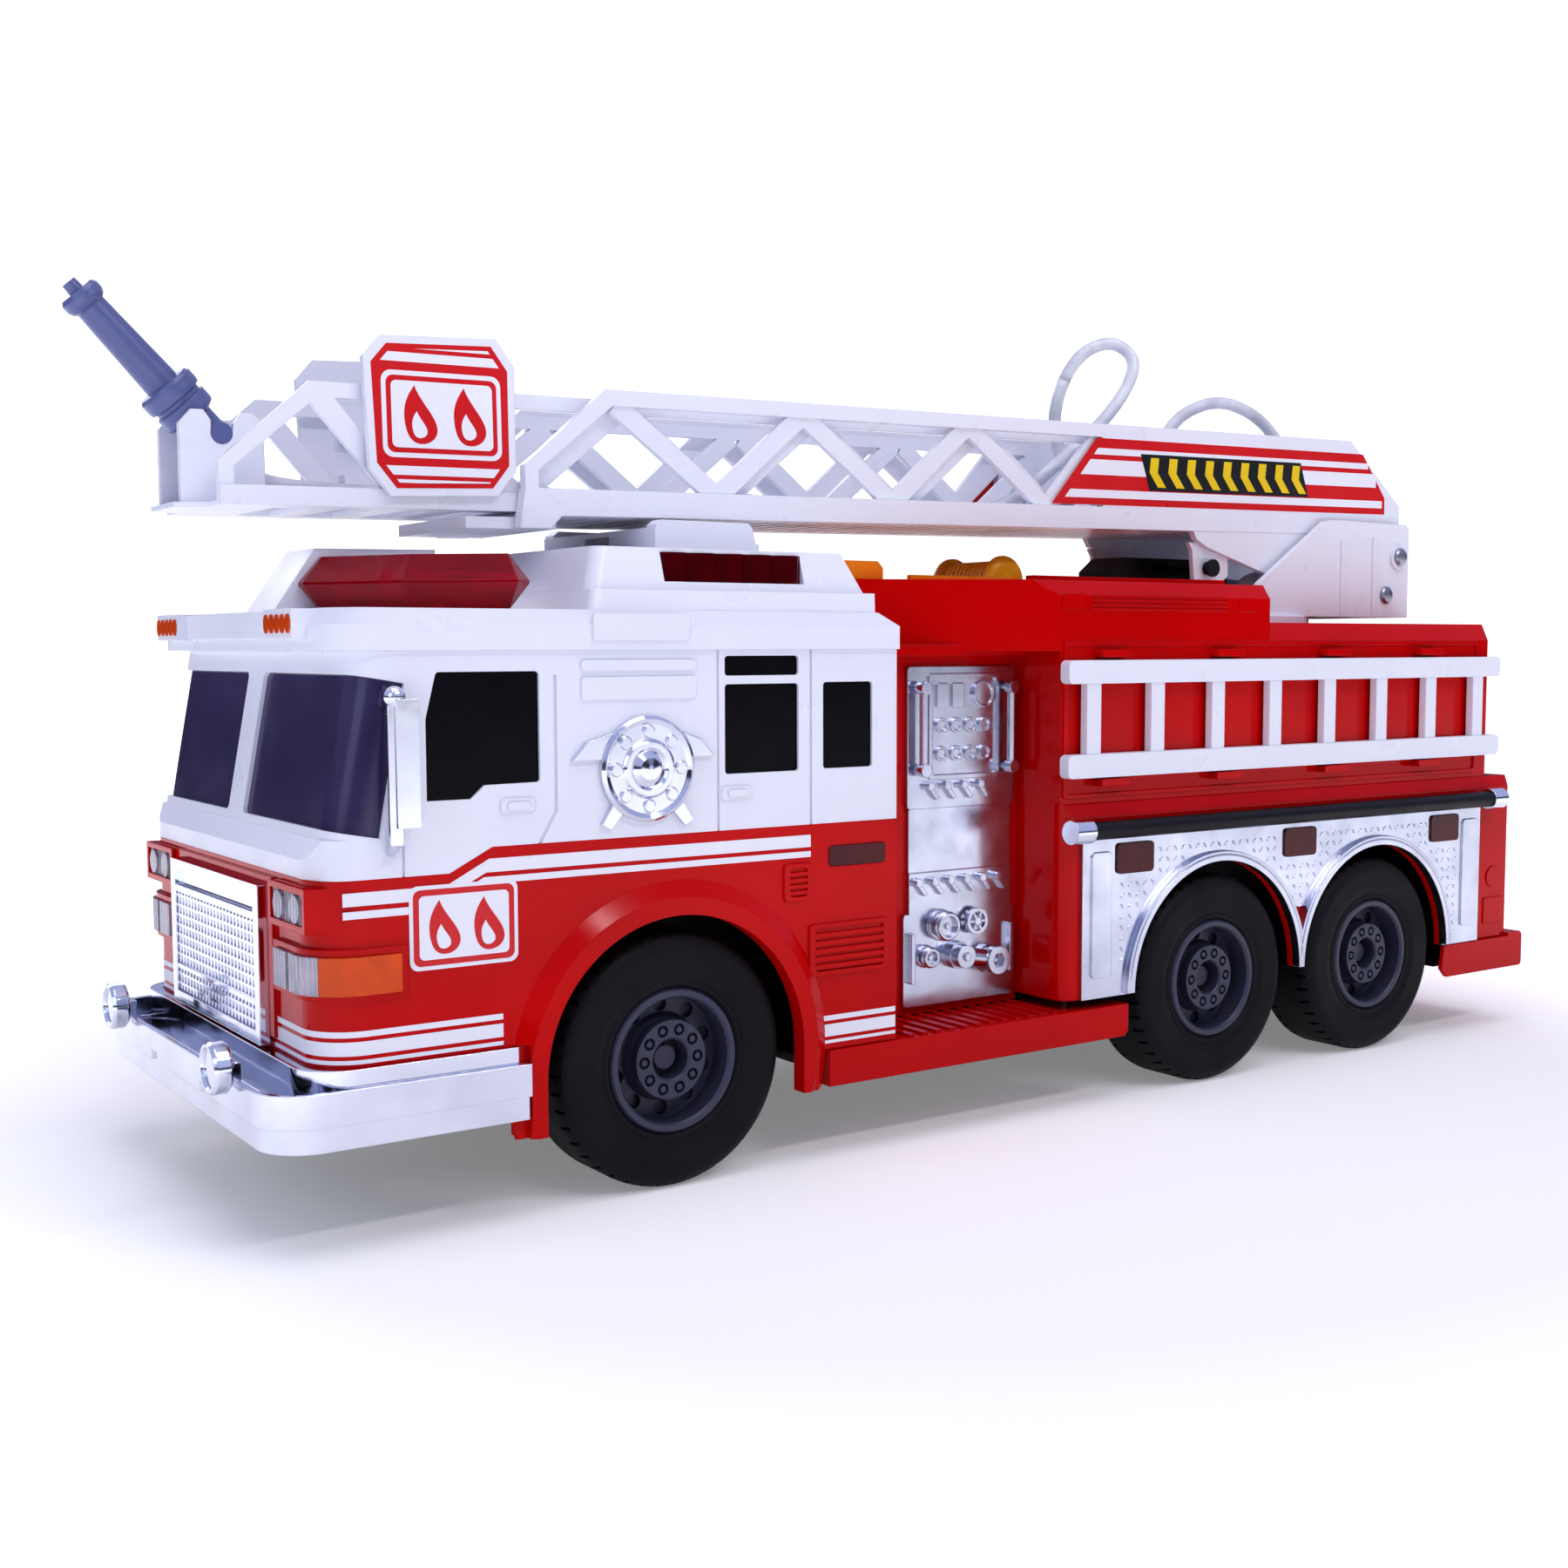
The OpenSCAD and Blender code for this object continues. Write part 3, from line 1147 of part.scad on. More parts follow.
// Fly ladder: the inner section that slides forward, with its nozzle cradle.
fly_tail = 150;
fly_nose = 489.6;
module ladder_fly() {
    low = 10.5;
    floor_top = 11.9;
    rail_top = 16;
    top = 45.2;
    outer = 25.5;
    web = 24.2;
    inner = 22.3;
    color(white) on_ladder() difference() {
        union() {
            difference() {
                linear_fly_floor(low, floor_top);
                for (k = [0 : 16]) block([fly_tail + 8 + 19 * k, -17, low - 1],
                    [fly_tail + 18 + 19 * k, 17, floor_top + 1]);
            }
            both_sides() {
                block([fly_tail, inner, low], [fly_nose, outer, rail_top]);
                side_prism([
                    [fly_tail, low], [fly_tail, top], [463, top], [fly_nose, 22.4], [fly_nose, low],
                        [fly_nose - 4.5, low],
                    [fly_nose - 4.5, 21], [461, 40.8], [fly_tail + 4.5, 40.8], [fly_tail + 4.5, low]
                ], inner, web);
                for (k = [0 : 3]) {
                    foot = fly_tail + 34 + 72 * k;
                    brace(foot, rail_top - 1, foot + 34, 41.6, inner, web);
                    brace(foot, rail_top - 1, foot - 34, 41.6, inner, web);
                }
                brace(461, 41.6, 438, rail_top - 1, inner, web);
                for (w = [22, 35.6]) block([414, inner + 0.5, w - 2], [436, 26, w + 2]);
                nozzle_cradle(floor_top);
            }
            for (k = [3, 7, 11]) hose_clip(fly_tail + 22.5 + 19 * k, floor_top);
        }
        y_rod(nozzle_pivot[0], nozzle_pivot[1], 3 + snug, -12, 12);
    }
}

// Floor plate of the fly ladder, narrowing to the nozzle cradle.
module linear_fly_floor(z0, z1) {
    translate([0, 0, z0]) linear_extrude(z1 - z0) polygon([
        [fly_tail, -22.4], [fly_nose, -22.4], [fly_nose, -16], [498, -11], [498, 11], [fly_nose, 16],
            [fly_nose, 22.4], [fly_tail, 22.4]
    ]);
}

// One cradle plate with an open slot that the nozzle's trunnion snaps into.
nozzle_pivot = [483.8, 31.2];
module nozzle_cradle(floor_top) {
    slot = 2.9;
    side_prism([
        [472, floor_top - 0.2], [472, 34], [474.5, 37], [478, 37], [nozzle_pivot[0] - slot - 0.6, 34],
        [nozzle_pivot[0] - slot, nozzle_pivot[1]], [nozzle_pivot[0], nozzle_pivot[1] - 1],
            [nozzle_pivot[0] + slot, nozzle_pivot[1]],
        [nozzle_pivot[0] + slot, 34.6], [488.6, 37.4], [492, 37.4], [495.5, 33.5], [495.8, floor_top - 0.2]
    ], 8.6, 10.6);
}

// A small open clip that holds the hose above the fly floor.
module hose_clip(u, z) {
    difference() {
        block([u - 2, -4.4, z - 0.2], [u + 2, 4.4, z + 8]);
        x_rod(0, z + 4.6, 3, u - 5, u + 5, 32);
        block([u - 5, -2.2, z + 4.6], [u + 5, 2.2, z + 12]);
    }
}

// Octagonal sign plates on both sides of the fly ladder's nose.
module sign_plates() {
    color(white) on_ladder() both_sides() side_prism([
        [402.6, 22], [402.4, 52.4], [408, 60], [443.7, 58.6], [449, 52.6], [448, 21.5], [441.7, 13.7],
            [408.6, 14.6]
    ], 26, 28);
}

// Water nozzle: tapered barrel with collars, tail spigot and cross trunnions.
module nozzle() {
    color([0.36, 0.42, 0.62]) on_ladder() translate([nozzle_pivot[0], 0, nozzle_pivot[1]]) {
        y_rod(0, 0, 3, -10.8, 10.8);
        rotate([0, 90 - nozzle_tilt, 0]) difference() {
            rotate_extrude($fn = 64) polygon([
                [0, -8], [2.6, -8], [2.6, -3], [5.4, -2.6], [5.4, 6.4], [7.4, 7.4], [7.8, 8.2],
                    [7.8, 11.6], [7, 12.2], [7, 13.2],
                [8.1, 13.6], [8.3, 14.6], [8.3, 17.4], [7.6, 18.4], [5, 18.8], [4.2, 45.4], [5.2, 46.2],
                    [5.8, 47.4], [5.8, 49.4],
                [5, 50.6], [2.2, 50.8], [2, 53.6], [0, 53.6]
            ]);
            translate([0, 0, 40]) cylinder(r = 1, h = 20, $fn = 24);
        }
    }
}

// Lift strut: a flat rod on the foot pin slides inside a housing hung from the ladder.
strut_top = [107.9, -4.9];
strut_lean = 4.35;
module strut_rod() {
    color("silver") translate([strut_foot[0], 0, strut_foot[1]]) rotate([0, -strut_lean, 0]) difference() {
        union() {
            y_rod(0, 0, 5, -4, 4);
            block([0, -3, -2], [101, 3, 2]);
        }
        y_rod(0, 0, 2.5 + snug, -10, 10);
    }
}

// Black strut housing with stub trunnions in the ladder's hanging brackets.
module strut_housing() {
    color(black) on_ladder() translate([strut_top[0], 0, strut_top[1]]) rotate([0, -stow_tilt, 0]) {
        difference() {
            side_prism([[-33, -8.8], [-33, 4.4], [26, 4.4], [33, -1], [33, -3.6], [26, -5.4], [8, -8.8]],
                -8.5, 8.5);
            side_prism([[-40, -7.8], [-40, 3.2], [22, 3.2], [22, -4.6], [4, -7.8]], -5, 5);
        }
        both_sides() {
            y_rod(0, 0, 2.5 - snug, 8.4, 30.5);
            translate([0, 30.4, 0]) rotate([-90, 0, 0]) cylinder(r = 3.4, h = 1.2, $fn = 48);
        }
    }
}

// ---------- water hose ----------

// Route of the clear hose in ladder coordinates, from the nozzle's tail to the turntable spigot.
hose_r = 2.4;
hose_route = [
    [478.1, 0, 25], [475.8, 0, 22.6], [467, 0, 18.6], [450, 0, 17], [420, 0, 16.5], [370, 0, 16.5],
        [300, 0, 16.5], [230, 0, 16.5],
    [200, 1, 17], [182, 3, 23], [163, 6, 37], [143, 7, 52], [129, 6, 66], [124, 4, 77], [131, 0, 83],
    [143, -3, 79], [151, -6, 68], [154, -8, 52], [148, -8, 34], [136, -8, 24], [120, -8, 24], [106, -6, 36],
    [94, -3, 54], [82, 0, 61.5], [68, 1, 63.5], [52, 1, 60], [40, 2, 52], [30, 5, 36], [27, 9, 18],
        [30, 12, 4],
    [42, 15, -5], [58, 16, -7], [69, 15, -9], [73.5, 14, -13], [73.7, 14, -17.4]
];

// Point on a smooth curve through four neighbouring route points.
function curve_point(a, b, c, d, t) = 0.5 * ((2 * b) + (c - a) * t + (2 * a - 5 * b + 4 * c - d) * t * t
    + (3 * b - a - 3 * c + d) * t * t * t);

// The whole route, with the given number of steps between neighbouring points.
function smooth_route(p, steps) = [
    for (i = [0 : len(p) - 2], k = [0 : steps - 1])
        curve_point(p[max(i - 1, 0)], p[i], p[i + 1], p[min(i + 2, len(p) - 1)], k / steps),
    p[len(p) - 1]
];

// Direction of the path at one of its points.
function path_dir(p, i) = let (a = p[max(i - 1, 0)], b = p[min(i + 1, len(p) - 1)]) (b - a) / norm(b - a);

// Sideways unit vectors carried along the path without twist.
function carried(p, i) = i == 0
    ? let (d = path_dir(p, 0), s = abs(d[1]) < 0.9 ? [0, 1, 0] : [1, 0, 0]) unit(s - d * (s * d))
    : let (d = path_dir(p, i), s = carried(p, i - 1)) unit(s - d * (s * d));
function unit(v) = v / norm(v);

// A closed round tube along a path, as one polyhedron.
module tube(path, r, sides) {
    rings = len(path);
    points = [
        for (i = [0 : rings - 1])
            let (d = path_dir(path, i), s = carried(path, i), t = cross(d, s))
            for (k = [0 : sides - 1]) path[i] + r * cos(360 * k / sides) * s + r * sin(360 * k / sides) * t
    ];
    faces = concat(
        [[for (k = [sides - 1 : -1 : 0]) k]],
        [for (i = [0 : rings - 2], k = [0 : sides - 1])
            [i * sides + k, i * sides + (k + 1) % sides, (i + 1) * sides + (k + 1) % sides,
                (i + 1) * sides + k]],
        [[for (k = [0 : sides - 1]) (rings - 1) * sides + k]]
    );
    polyhedron(points = points, faces = faces, convexity = 10);
}

// Clear water hose, from the nozzle along the ladder and through two loose loops to the turntable.
module water_hose() {
    color([0.90, 0.92, 0.98]) on_ladder() tube(smooth_route(hose_route, 2), hose_r, 10);
}

// ---------- inside ----------

// Clear water tank between the rear body's walls, with its filler neck.
module water_tank() {
    color([0.82, 0.86, 0.92]) difference() {
        union() {
            block([-283, -42, 90], [-158, 42, 150]);
            translate([filler_x, 0, 128]) cylinder(r = 9, h = 32, $fn = 48);
            block([-158.5, -9, 128], [filler_x, 9, 140]);
        }
        block([-281, -40, 92], [-160, 40, 148]);
        translate([filler_x, 0, 130]) cylinder(r = 7.05, h = 40, $fn = 48);
        block([-161, -7, 130], [filler_x, 7, 138]);
    }
}

// Battery door in the chassis floor.
module battery_door() {
    color(black) {
        block([-147.8, -31.8, 27], [-84.2, 31.8, 29]);
        block([-149.8, -6, 29.6], [-141, 6, 30.6]);
        block([-147.8, -6, 28.9], [-141, 6, 29.7]);
    }
}

// Three round cells side by side above the battery door.
module batteries() {
    color([0.15, 0.4, 0.2]) for (k = [0 : 2]) {
        y_rod(-131 + 15 * k, 38, 7, -25, 24);
        y_rod(-131 + 15 * k, 38, 2.6, 24, 25.5);
    }
}

// Sound and light circuit board with two chips.
module circuit_board() {
    color([0.05, 0.35, 0.15]) {
        block([-60, -22, board_z], [-15, 22, board_z + 1.6]);
        block([-48, -8, board_z + 1.6], [-36, 4, board_z + 3.6]);
        block([-32, 6, board_z + 1.6], [-24, 14, board_z + 4.6]);
    }
}

// Speaker over the sound slots in the chassis floor.
module speaker() {
    color(black) translate([45, 0, 0]) {
        translate([0, 0, 29.5]) cylinder(r = 18, h = 3, $fn = 64);
        translate([0, 0, 32.5]) cylinder(r = 12, h = 5, $fn = 48);
        translate([0, 0, 37.5]) cylinder(r = 9, h = 4, $fn = 48);
    }
}

place() chassis();
place() cab_lower();
place() cab_upper();
place() cab_roof();
place() main_body();
place() running_boards();
place() rear_step();
place() windscreen();
place() side_windows();
place() grille();
place() front_bumper();
place() bumper_lamps();
place() mirror_left();
place() mirror_right();
place() pump_panel_left();
place() pump_panel_right();
place() fender_panel_left();
place() fender_panel_right();
place() side_badges();
place() handrails();
place() handrail_brackets();
place() side_ladder_left();
place() side_ladder_right();
place() headlamp_lenses();
place() turn_lenses();
place() marker_lenses();
place() light_bar_lenses();
place() roof_lamp_lenses();
place() ladder_rest();
place() pump_button();
place() pump_spring();
place() pump_cylinder();
place() deck_tray();
place() filler_cap();
place() hose_reel();
place() turntable();
place() turntable_retainer();
place() ladder_pin();
place() ladder_base();
place() ladder_fly();
place() sign_plates();
place() nozzle();
place() strut_rod();
place() strut_housing();
place() water_hose();
place() axle(0);  // axle_front
place() axle(1);  // axle_middle
place() axle(2);  // axle_rear
place() tyre_pair(0);  // tyres_front
place() tyre_pair(1);  // tyres_middle
place() tyre_pair(2);  // tyres_rear
place() rim_pair(0);  // rims_front
place() rim_pair(1);  // rims_middle
place() rim_pair(2);  // rims_rear
place() water_tank();
place() battery_door();
place() batteries();
place() circuit_board();
place() speaker();
place() body_screws();
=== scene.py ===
"""Looks of the toy ladder fire engine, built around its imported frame.

Lengths in this script are millimetres measured from the front axle, as in the part's source:
X forward, Y to the left, Z up. at() turns them into metres in the row frame.
"""
import json
import math

import bpy
import bmesh
from mathutils import Matrix, Vector


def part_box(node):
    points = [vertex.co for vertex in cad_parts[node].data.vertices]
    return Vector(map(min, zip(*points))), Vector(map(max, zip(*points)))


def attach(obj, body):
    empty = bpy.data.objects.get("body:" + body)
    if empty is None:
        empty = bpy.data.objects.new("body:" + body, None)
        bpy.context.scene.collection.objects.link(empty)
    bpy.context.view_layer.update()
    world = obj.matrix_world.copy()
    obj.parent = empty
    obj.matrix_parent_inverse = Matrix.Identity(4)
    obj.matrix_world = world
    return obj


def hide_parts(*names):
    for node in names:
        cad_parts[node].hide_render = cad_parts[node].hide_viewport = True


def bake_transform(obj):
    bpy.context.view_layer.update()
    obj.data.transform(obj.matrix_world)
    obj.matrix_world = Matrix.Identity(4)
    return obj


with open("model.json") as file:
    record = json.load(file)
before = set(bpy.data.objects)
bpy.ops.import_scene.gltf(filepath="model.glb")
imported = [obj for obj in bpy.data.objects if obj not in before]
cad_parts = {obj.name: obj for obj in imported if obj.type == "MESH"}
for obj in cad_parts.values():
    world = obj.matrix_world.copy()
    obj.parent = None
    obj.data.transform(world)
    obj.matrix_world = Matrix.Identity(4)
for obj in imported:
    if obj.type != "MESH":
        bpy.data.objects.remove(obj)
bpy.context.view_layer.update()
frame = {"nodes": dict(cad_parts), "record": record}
nodes = frame["nodes"]
scene = bpy.context.scene


def centre(node):
    low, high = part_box(node)
    return (low + high) / 2


AXLE = centre("axle_front")
SHIFT = AXLE.x * 1000                     # row-frame X of the front axle, mm
AXLE_Z = AXLE.z * 1000
BODY_HALF = 76.0
MM = 0.001


def at(x, y, z):
    """A point given from the front axle in mm, as a vector in metres in the row frame."""
    return Vector(((x + SHIFT) * MM, y * MM, z * MM))


# ---------- ladder frame ----------

HINGE = (-378.0, 193.4)
STOW_TILT = math.radians(1.0)


def on_ladder(u, y, w):
    """A point in ladder coordinates: u along the ladder from its hinge, w square to it."""
    c, s = math.cos(STOW_TILT), math.sin(STOW_TILT)
    return at(HINGE[0] + u * c + w * s, y, HINGE[1] - u * s + w * c)


# ---------- camera, first ----------

def make_camera():
    """The camera at the photograph's viewing angle."""
    data = bpy.data.cameras.new("camera")
    data.sensor_width = 36.0
    data.lens = 41.315
    data.clip_start = 0.01
    camera = bpy.data.objects.new("camera", data)
    scene.collection.objects.link(camera)
    yaw, pitch, roll = math.radians(55.53), math.radians(4.34), math.radians(-0.15)
    back = Vector((math.cos(yaw) * math.cos(pitch), math.sin(yaw) * math.cos(pitch), math.sin(pitch)))
    turn = back.to_track_quat("Z", "Y").to_matrix().to_4x4() @ Matrix.Rotation(roll, 4, "Z")
    camera.matrix_world = Matrix.Translation(at(263.7, 515.0, 156.4)) @ turn
    scene.camera = camera


make_camera()


# ---------- material tools ----------

def linear(c):
    """A display colour, 0 to 1 per channel, as scene-linear."""
    return tuple(v / 12.92 if v <= 0.04045 else ((v + 0.055) / 1.055) ** 2.4 for v in c) + (1.0,)


class Nodes:
    """A short way to build a material's node tree."""

    def __init__(self, name):
        self.material = bpy.data.materials.new(name)
        self.material.use_nodes = True
        self.tree = self.material.node_tree
        self.bsdf = self.tree.nodes["Principled BSDF"]
        self.place = self.add("ShaderNodeTexCoord").outputs["Object"]

    def add(self, kind, **settings):
        node = self.tree.nodes.new(kind)
        for key, value in settings.items():
            setattr(node, key, value)
        return node

    def link(self, source, target):
        self.tree.links.new(source, target)

    def noise(self, scale, detail=2.0, stretch=(1, 1, 1)):
        mapping = self.add("ShaderNodeMapping")
        mapping.inputs["Scale"].default_value = stretch
        self.link(self.place, mapping.inputs["Vector"])
        node = self.add("ShaderNodeTexNoise")
        node.inputs["Scale"].default_value = scale
        node.inputs["Detail"].default_value = detail
        self.link(mapping.outputs["Vector"], node.inputs["Vector"])
        return node.outputs["Fac"]

    def ramp(self, value, low, high, low_out, high_out):
        node = self.add("ShaderNodeMapRange")
        node.inputs["From Min"].default_value = low
        node.inputs["From Max"].default_value = high
        node.inputs["To Min"].default_value = low_out
        node.inputs["To Max"].default_value = high_out
        self.link(value, node.inputs["Value"])
        return node.outputs["Result"]

    def two_tone(self, fac, a, b):
        node = self.add("ShaderNodeMix", data_type="RGBA")
        node.inputs["A"].default_value = a
        node.inputs["B"].default_value = b
        self.link(fac, node.inputs["Factor"])
        return node.outputs["Result"]

    def math(self, operation, a, b):
        node = self.add("ShaderNodeMath", operation=operation)
        for socket, value in zip(node.inputs, (a, b)):
            if isinstance(value, (int, float)):
                socket.default_value = value
            else:
                self.link(value, socket)
        return node.outputs["Value"]

    def finish_surface(self, height, distance, edge):
        """Bump over softened edges: edge is the rounding radius of the moulded corners, in metres."""
        bevel = self.add("ShaderNodeBevel", samples=4)
        bevel.inputs["Radius"].default_value = edge
        bump = self.add("ShaderNodeBump")
        bump.inputs["Strength"].default_value = 1.0
        bump.inputs["Distance"].default_value = distance
        self.link(height, bump.inputs["Height"])
        self.link(bevel.outputs["Normal"], bump.inputs["Normal"])
        self.link(bump.outputs["Normal"], self.bsdf.inputs["Normal"])

    def set(self, **values):
        names = {"ior": "IOR", "coat": "Coat Weight", "coat_rough": "Coat Roughness", "metal": "Metallic",
                 "clear": "Transmission Weight", "specular": "Specular IOR Level", "sheen": "Sheen Weight"}
        for key, value in values.items():
            self.bsdf.inputs[names[key]].default_value = value


def moulded(name, colour, shade=0.9, rough=(0.22, 0.34), edge=0.0005, grain=0.00001, grain_scale=900,
            **extra):
    """Moulded plastic: faint flow marks in the colour, uneven gloss and a fine skin texture."""
    m = Nodes(name)
    base = linear(colour)
    deep = tuple(c * shade for c in base[:3]) + (1.0,)
    flow = m.ramp(m.noise(14, 3.0, (1, 1, 2.2)), 0.35, 0.65, 0.0, 1.0)
    m.link(m.two_tone(flow, base, deep), m.bsdf.inputs["Base Color"])
    gloss = m.ramp(m.noise(55, 4.0), 0.3, 0.7, rough[0], rough[1])
    m.link(gloss, m.bsdf.inputs["Roughness"])
    skin = m.noise(grain_scale, 2.0)
    waves = m.math("MULTIPLY", m.noise(70, 1.0), 2.5)
    m.finish_surface(m.math("ADD", skin, waves), grain, edge)
    m.set(**extra)
    return m.material


def plated(name, colour=(0.88, 0.89, 0.93), rough=(0.05, 0.13), edge=0.0005, wave=0.00003):
    """Vacuum-plated plastic: bright metal with slow waves and hazy patches."""
    m = Nodes(name)
    base = linear(colour)
    dull = tuple(c * 0.86 for c in base[:3]) + (1.0,)
    haze = m.ramp(m.noise(40, 4.0), 0.4, 0.7, 0.0, 1.0)
    m.link(m.two_tone(haze, base, dull), m.bsdf.inputs["Base Color"])
    m.link(m.ramp(m.noise(90, 3.0), 0.3, 0.7, rough[0], rough[1]), m.bsdf.inputs["Roughness"])
    m.finish_surface(m.noise(110, 1.5), wave, edge)
    m.set(metal=1.0)
    return m.material


def lens(name, colour, clear, rib_pitch=0.0, rib_axis="Y", rough=(0.06, 0.12), edge=0.0004):
    """Clear or coloured lens plastic, with moulded ribs across it."""
    m = Nodes(name)
    base = linear(colour)
    thick = tuple(c * 0.8 for c in base[:3]) + (1.0,)
    m.link(m.two_tone(m.ramp(m.noise(120, 2.0), 0.35, 0.65, 0, 1), base, thick), m.bsdf.inputs["Base Color"])
    m.link(m.ramp(m.noise(60, 2.0), 0.3, 0.7, rough[0], rough[1]), m.bsdf.inputs["Roughness"])
    height = m.noise(150, 1.0)
    distance = 0.00002
    if rib_pitch:
        parts = m.add("ShaderNodeSeparateXYZ")
        m.link(m.place, parts.inputs["Vector"])
        wave = m.math("SINE", m.math("MULTIPLY", parts.outputs[rib_axis], math.tau / rib_pitch), 0)
        height = m.math("ADD", wave, m.math("MULTIPLY", height, 0.1))
        distance = rib_pitch * 0.12
    m.finish_surface(height, distance, edge)
    m.set(clear=clear, ior=1.49, specular=0.3)
    return m.material


RED = (0.80, 0.012, 0.022)
WHITE = (0.93, 0.935, 0.97)

MATERIALS = {
    "red_plastic": moulded("red_plastic", RED, 0.86, (0.08, 0.14), specular=0.16),
    "white_plastic": moulded("white_plastic", WHITE, 0.975, (0.26, 0.38)),
    "black_plastic": moulded("black_plastic", (0.055, 0.05, 0.07), 0.75, (0.34, 0.5), grain=0.00002,
                             specular=0.3),
    "chrome_plating": plated("chrome_plating"),
    "dark_glazing": moulded("dark_glazing", (0.04, 0.03, 0.065), 0.72, (0.16, 0.28), grain=0.00002,
                            grain_scale=500, specular=0.14),
    "clear_lens": lens("clear_lens", (0.93, 0.90, 0.95), 0.45, 0.0022),
    "amber_lens": lens("amber_lens", (0.97, 0.36, 0.03), 0.18),
    "red_lens": lens("red_lens", (0.76, 0.01, 0.12), 0.55),
    "dark_red_lens": lens("dark_red_lens", (0.34, 0.0, 0.05), 0.1),
    "orange_plastic": moulded("orange_plastic", (0.99, 0.56, 0.03), 0.88, (0.2, 0.32)),
    "yellow_plastic": moulded("yellow_plastic", (1.0, 0.74, 0.03), 0.85, (0.2, 0.3)),
    "blue_grey_plastic": moulded("blue_grey_plastic", (0.40, 0.43, 0.62), 0.85, (0.24, 0.36)),
    "tyre_plastic": moulded("tyre_plastic", (0.07, 0.065, 0.085), 0.72, (0.5, 0.68), 0.0006,
                            grain=0.00004, grain_scale=350, specular=0.25),
    "rim_plastic": moulded("rim_plastic", (0.25, 0.25, 0.33), 0.8, (0.3, 0.45)),
    "steel": plated("steel", (0.62, 0.62, 0.66), (0.28, 0.42)),
    "board": moulded("board", (0.05, 0.35, 0.15), 0.8, (0.4, 0.6)),
    "cell_wrap": moulded("cell_wrap", (0.15, 0.4, 0.2), 0.8, (0.2, 0.35)),
    "tank_plastic": moulded("tank_plastic", (0.85, 0.88, 0.93), 0.9, (0.25, 0.4)),
    "hose_pvc": lens("hose_pvc", (0.95, 0.955, 0.985), 0.18, rough=(0.14, 0.24)),
}
PAPER = moulded("sticker_white", (0.95, 0.95, 0.98), 0.965, (0.3, 0.42), 0.0001, 0.000004)
STICKER_RED = moulded("sticker_red", (0.84, 0.09, 0.11), 0.93, (0.26, 0.36), 0.0001, 0.000004)
STICKER_BLACK = moulded("sticker_black", (0.09, 0.09, 0.09), 0.8, (0.3, 0.42), 0.0001, 0.000004)
STICKER_YELLOW = moulded("sticker_yellow", (0.96, 0.83, 0.12), 0.9, (0.3, 0.42), 0.0001, 0.000004)

SATIN_PLATE = plated("satin_plate", (0.80, 0.81, 0.86), (0.16, 0.30), wave=0.00005)
# The windscreen's glazing: a lighter copy of the dark glazing, whose extra brightness is a painted
# reflection of the bright studio on the raked screen.
GLAZING_WITH_PAINTED_REFLECTION = moulded("glazing_with_painted_reflection", (0.25, 0.21, 0.36), 0.8, (0.12, 0.24), grain=0.00002,
                         grain_scale=500)

# Pieces whose finish differs from the rest of their material. The windscreen's glazing is the dark glazing
# made lighter, a painted reflection.
OWN_FINISH = {
    "pump_panel_left": SATIN_PLATE, "pump_panel_right": SATIN_PLATE,
    "fender_panel_left": SATIN_PLATE, "fender_panel_right": SATIN_PLATE,
    "windscreen": GLAZING_WITH_PAINTED_REFLECTION,
}

for part in frame["record"]["subparts"]:
    mesh = nodes[part["node"]].data
    mesh.materials.clear()
    mesh.materials.append(OWN_FINISH.get(part["node"]) or MATERIALS[part["material_slot"]])


# ---------- mesh tools ----------

def piece(name, verts, faces, material, body, smooth=False):
    """A mesh object of its own that rides on a body, or stands still when body is None."""
    mesh = bpy.data.meshes.new(name)
    mesh.from_pydata([tuple(v) for v in verts], [], faces)
    mesh.validate()
    bm = bmesh.new()
    bm.from_mesh(mesh)
    bmesh.ops.recalc_face_normals(bm, faces=bm.faces)
    bm.to_mesh(mesh)
    bm.free()
    for face in mesh.polygons:
        face.use_smooth = smooth
    mesh.materials.append(material)
    obj = bpy.data.objects.new(name, mesh)
    scene.collection.objects.link(obj)
    if body:
        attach(obj, body)
    return obj


def slab(name, outline, place, depth, material, body):
    """A thin flat plate. The outline has (a, b) points; place(a, b, d) puts each at height d."""
    n = len(outline)
    verts = [place(a, b, 0.0) for a, b in outline] + [place(a, b, depth) for a, b in outline]
    faces = [list(range(n))[::-1], list(range(n, 2 * n))]
    faces += [[i, (i + 1) % n, n + (i + 1) % n, n + i] for i in range(n)]
    return piece(name, verts, faces, material, body)


def rounded(a0, a1, b0, b1, r, steps=5):
    """Corner points of a rounded rectangle."""
    points = []
    corners = ((a1 - r, b1 - r, 0), (a0 + r, b1 - r, 90), (a0 + r, b0 + r, 180), (a1 - r, b0 + r, 270))
    for ca, cb, start in corners:
        for k in range(steps + 1):
            t = math.radians(start + 90 * k / steps)
            points.append((ca + r * math.cos(t), cb + r * math.sin(t)))
    return points


def centred(ca, cb, half_wide, half_tall, r):
    """Corner points of a rounded rectangle, given by its centre."""
    return rounded(ca - half_wide, ca + half_wide, cb - half_tall, cb + half_tall, r)


SIDES = (("left", 1), ("right", -1))
PRINT = 0.08                              # thickness of a printed sticker, mm
FIRST_LIFT = 0.03                         # gap under the lowest print
LAYER = 0.09                              # step from one print to the one above it


def raised(level):
    """Height of a print's underside above the surface, on the given level."""
    return FIRST_LIFT + LAYER * level


def sticker(name, outline, place, material, body="engine"):
    """A printed sticker: a slab of the print's thickness."""
    return slab(name, outline, place, PRINT, material, body)


def side_sticker(name, outline, material, level=0):
    """The same flat sticker on both flanks. level lifts a print above the one below it."""
    base = BODY_HALF + raised(level)
    for word, sign in SIDES:
        sticker(f"{name}_{word}", outline, lambda a, b, d: at(a, sign * (base + d), b), material)


# ---------- water hose ----------

HOSE_R = 2.4
HOSE_SIDES = 16
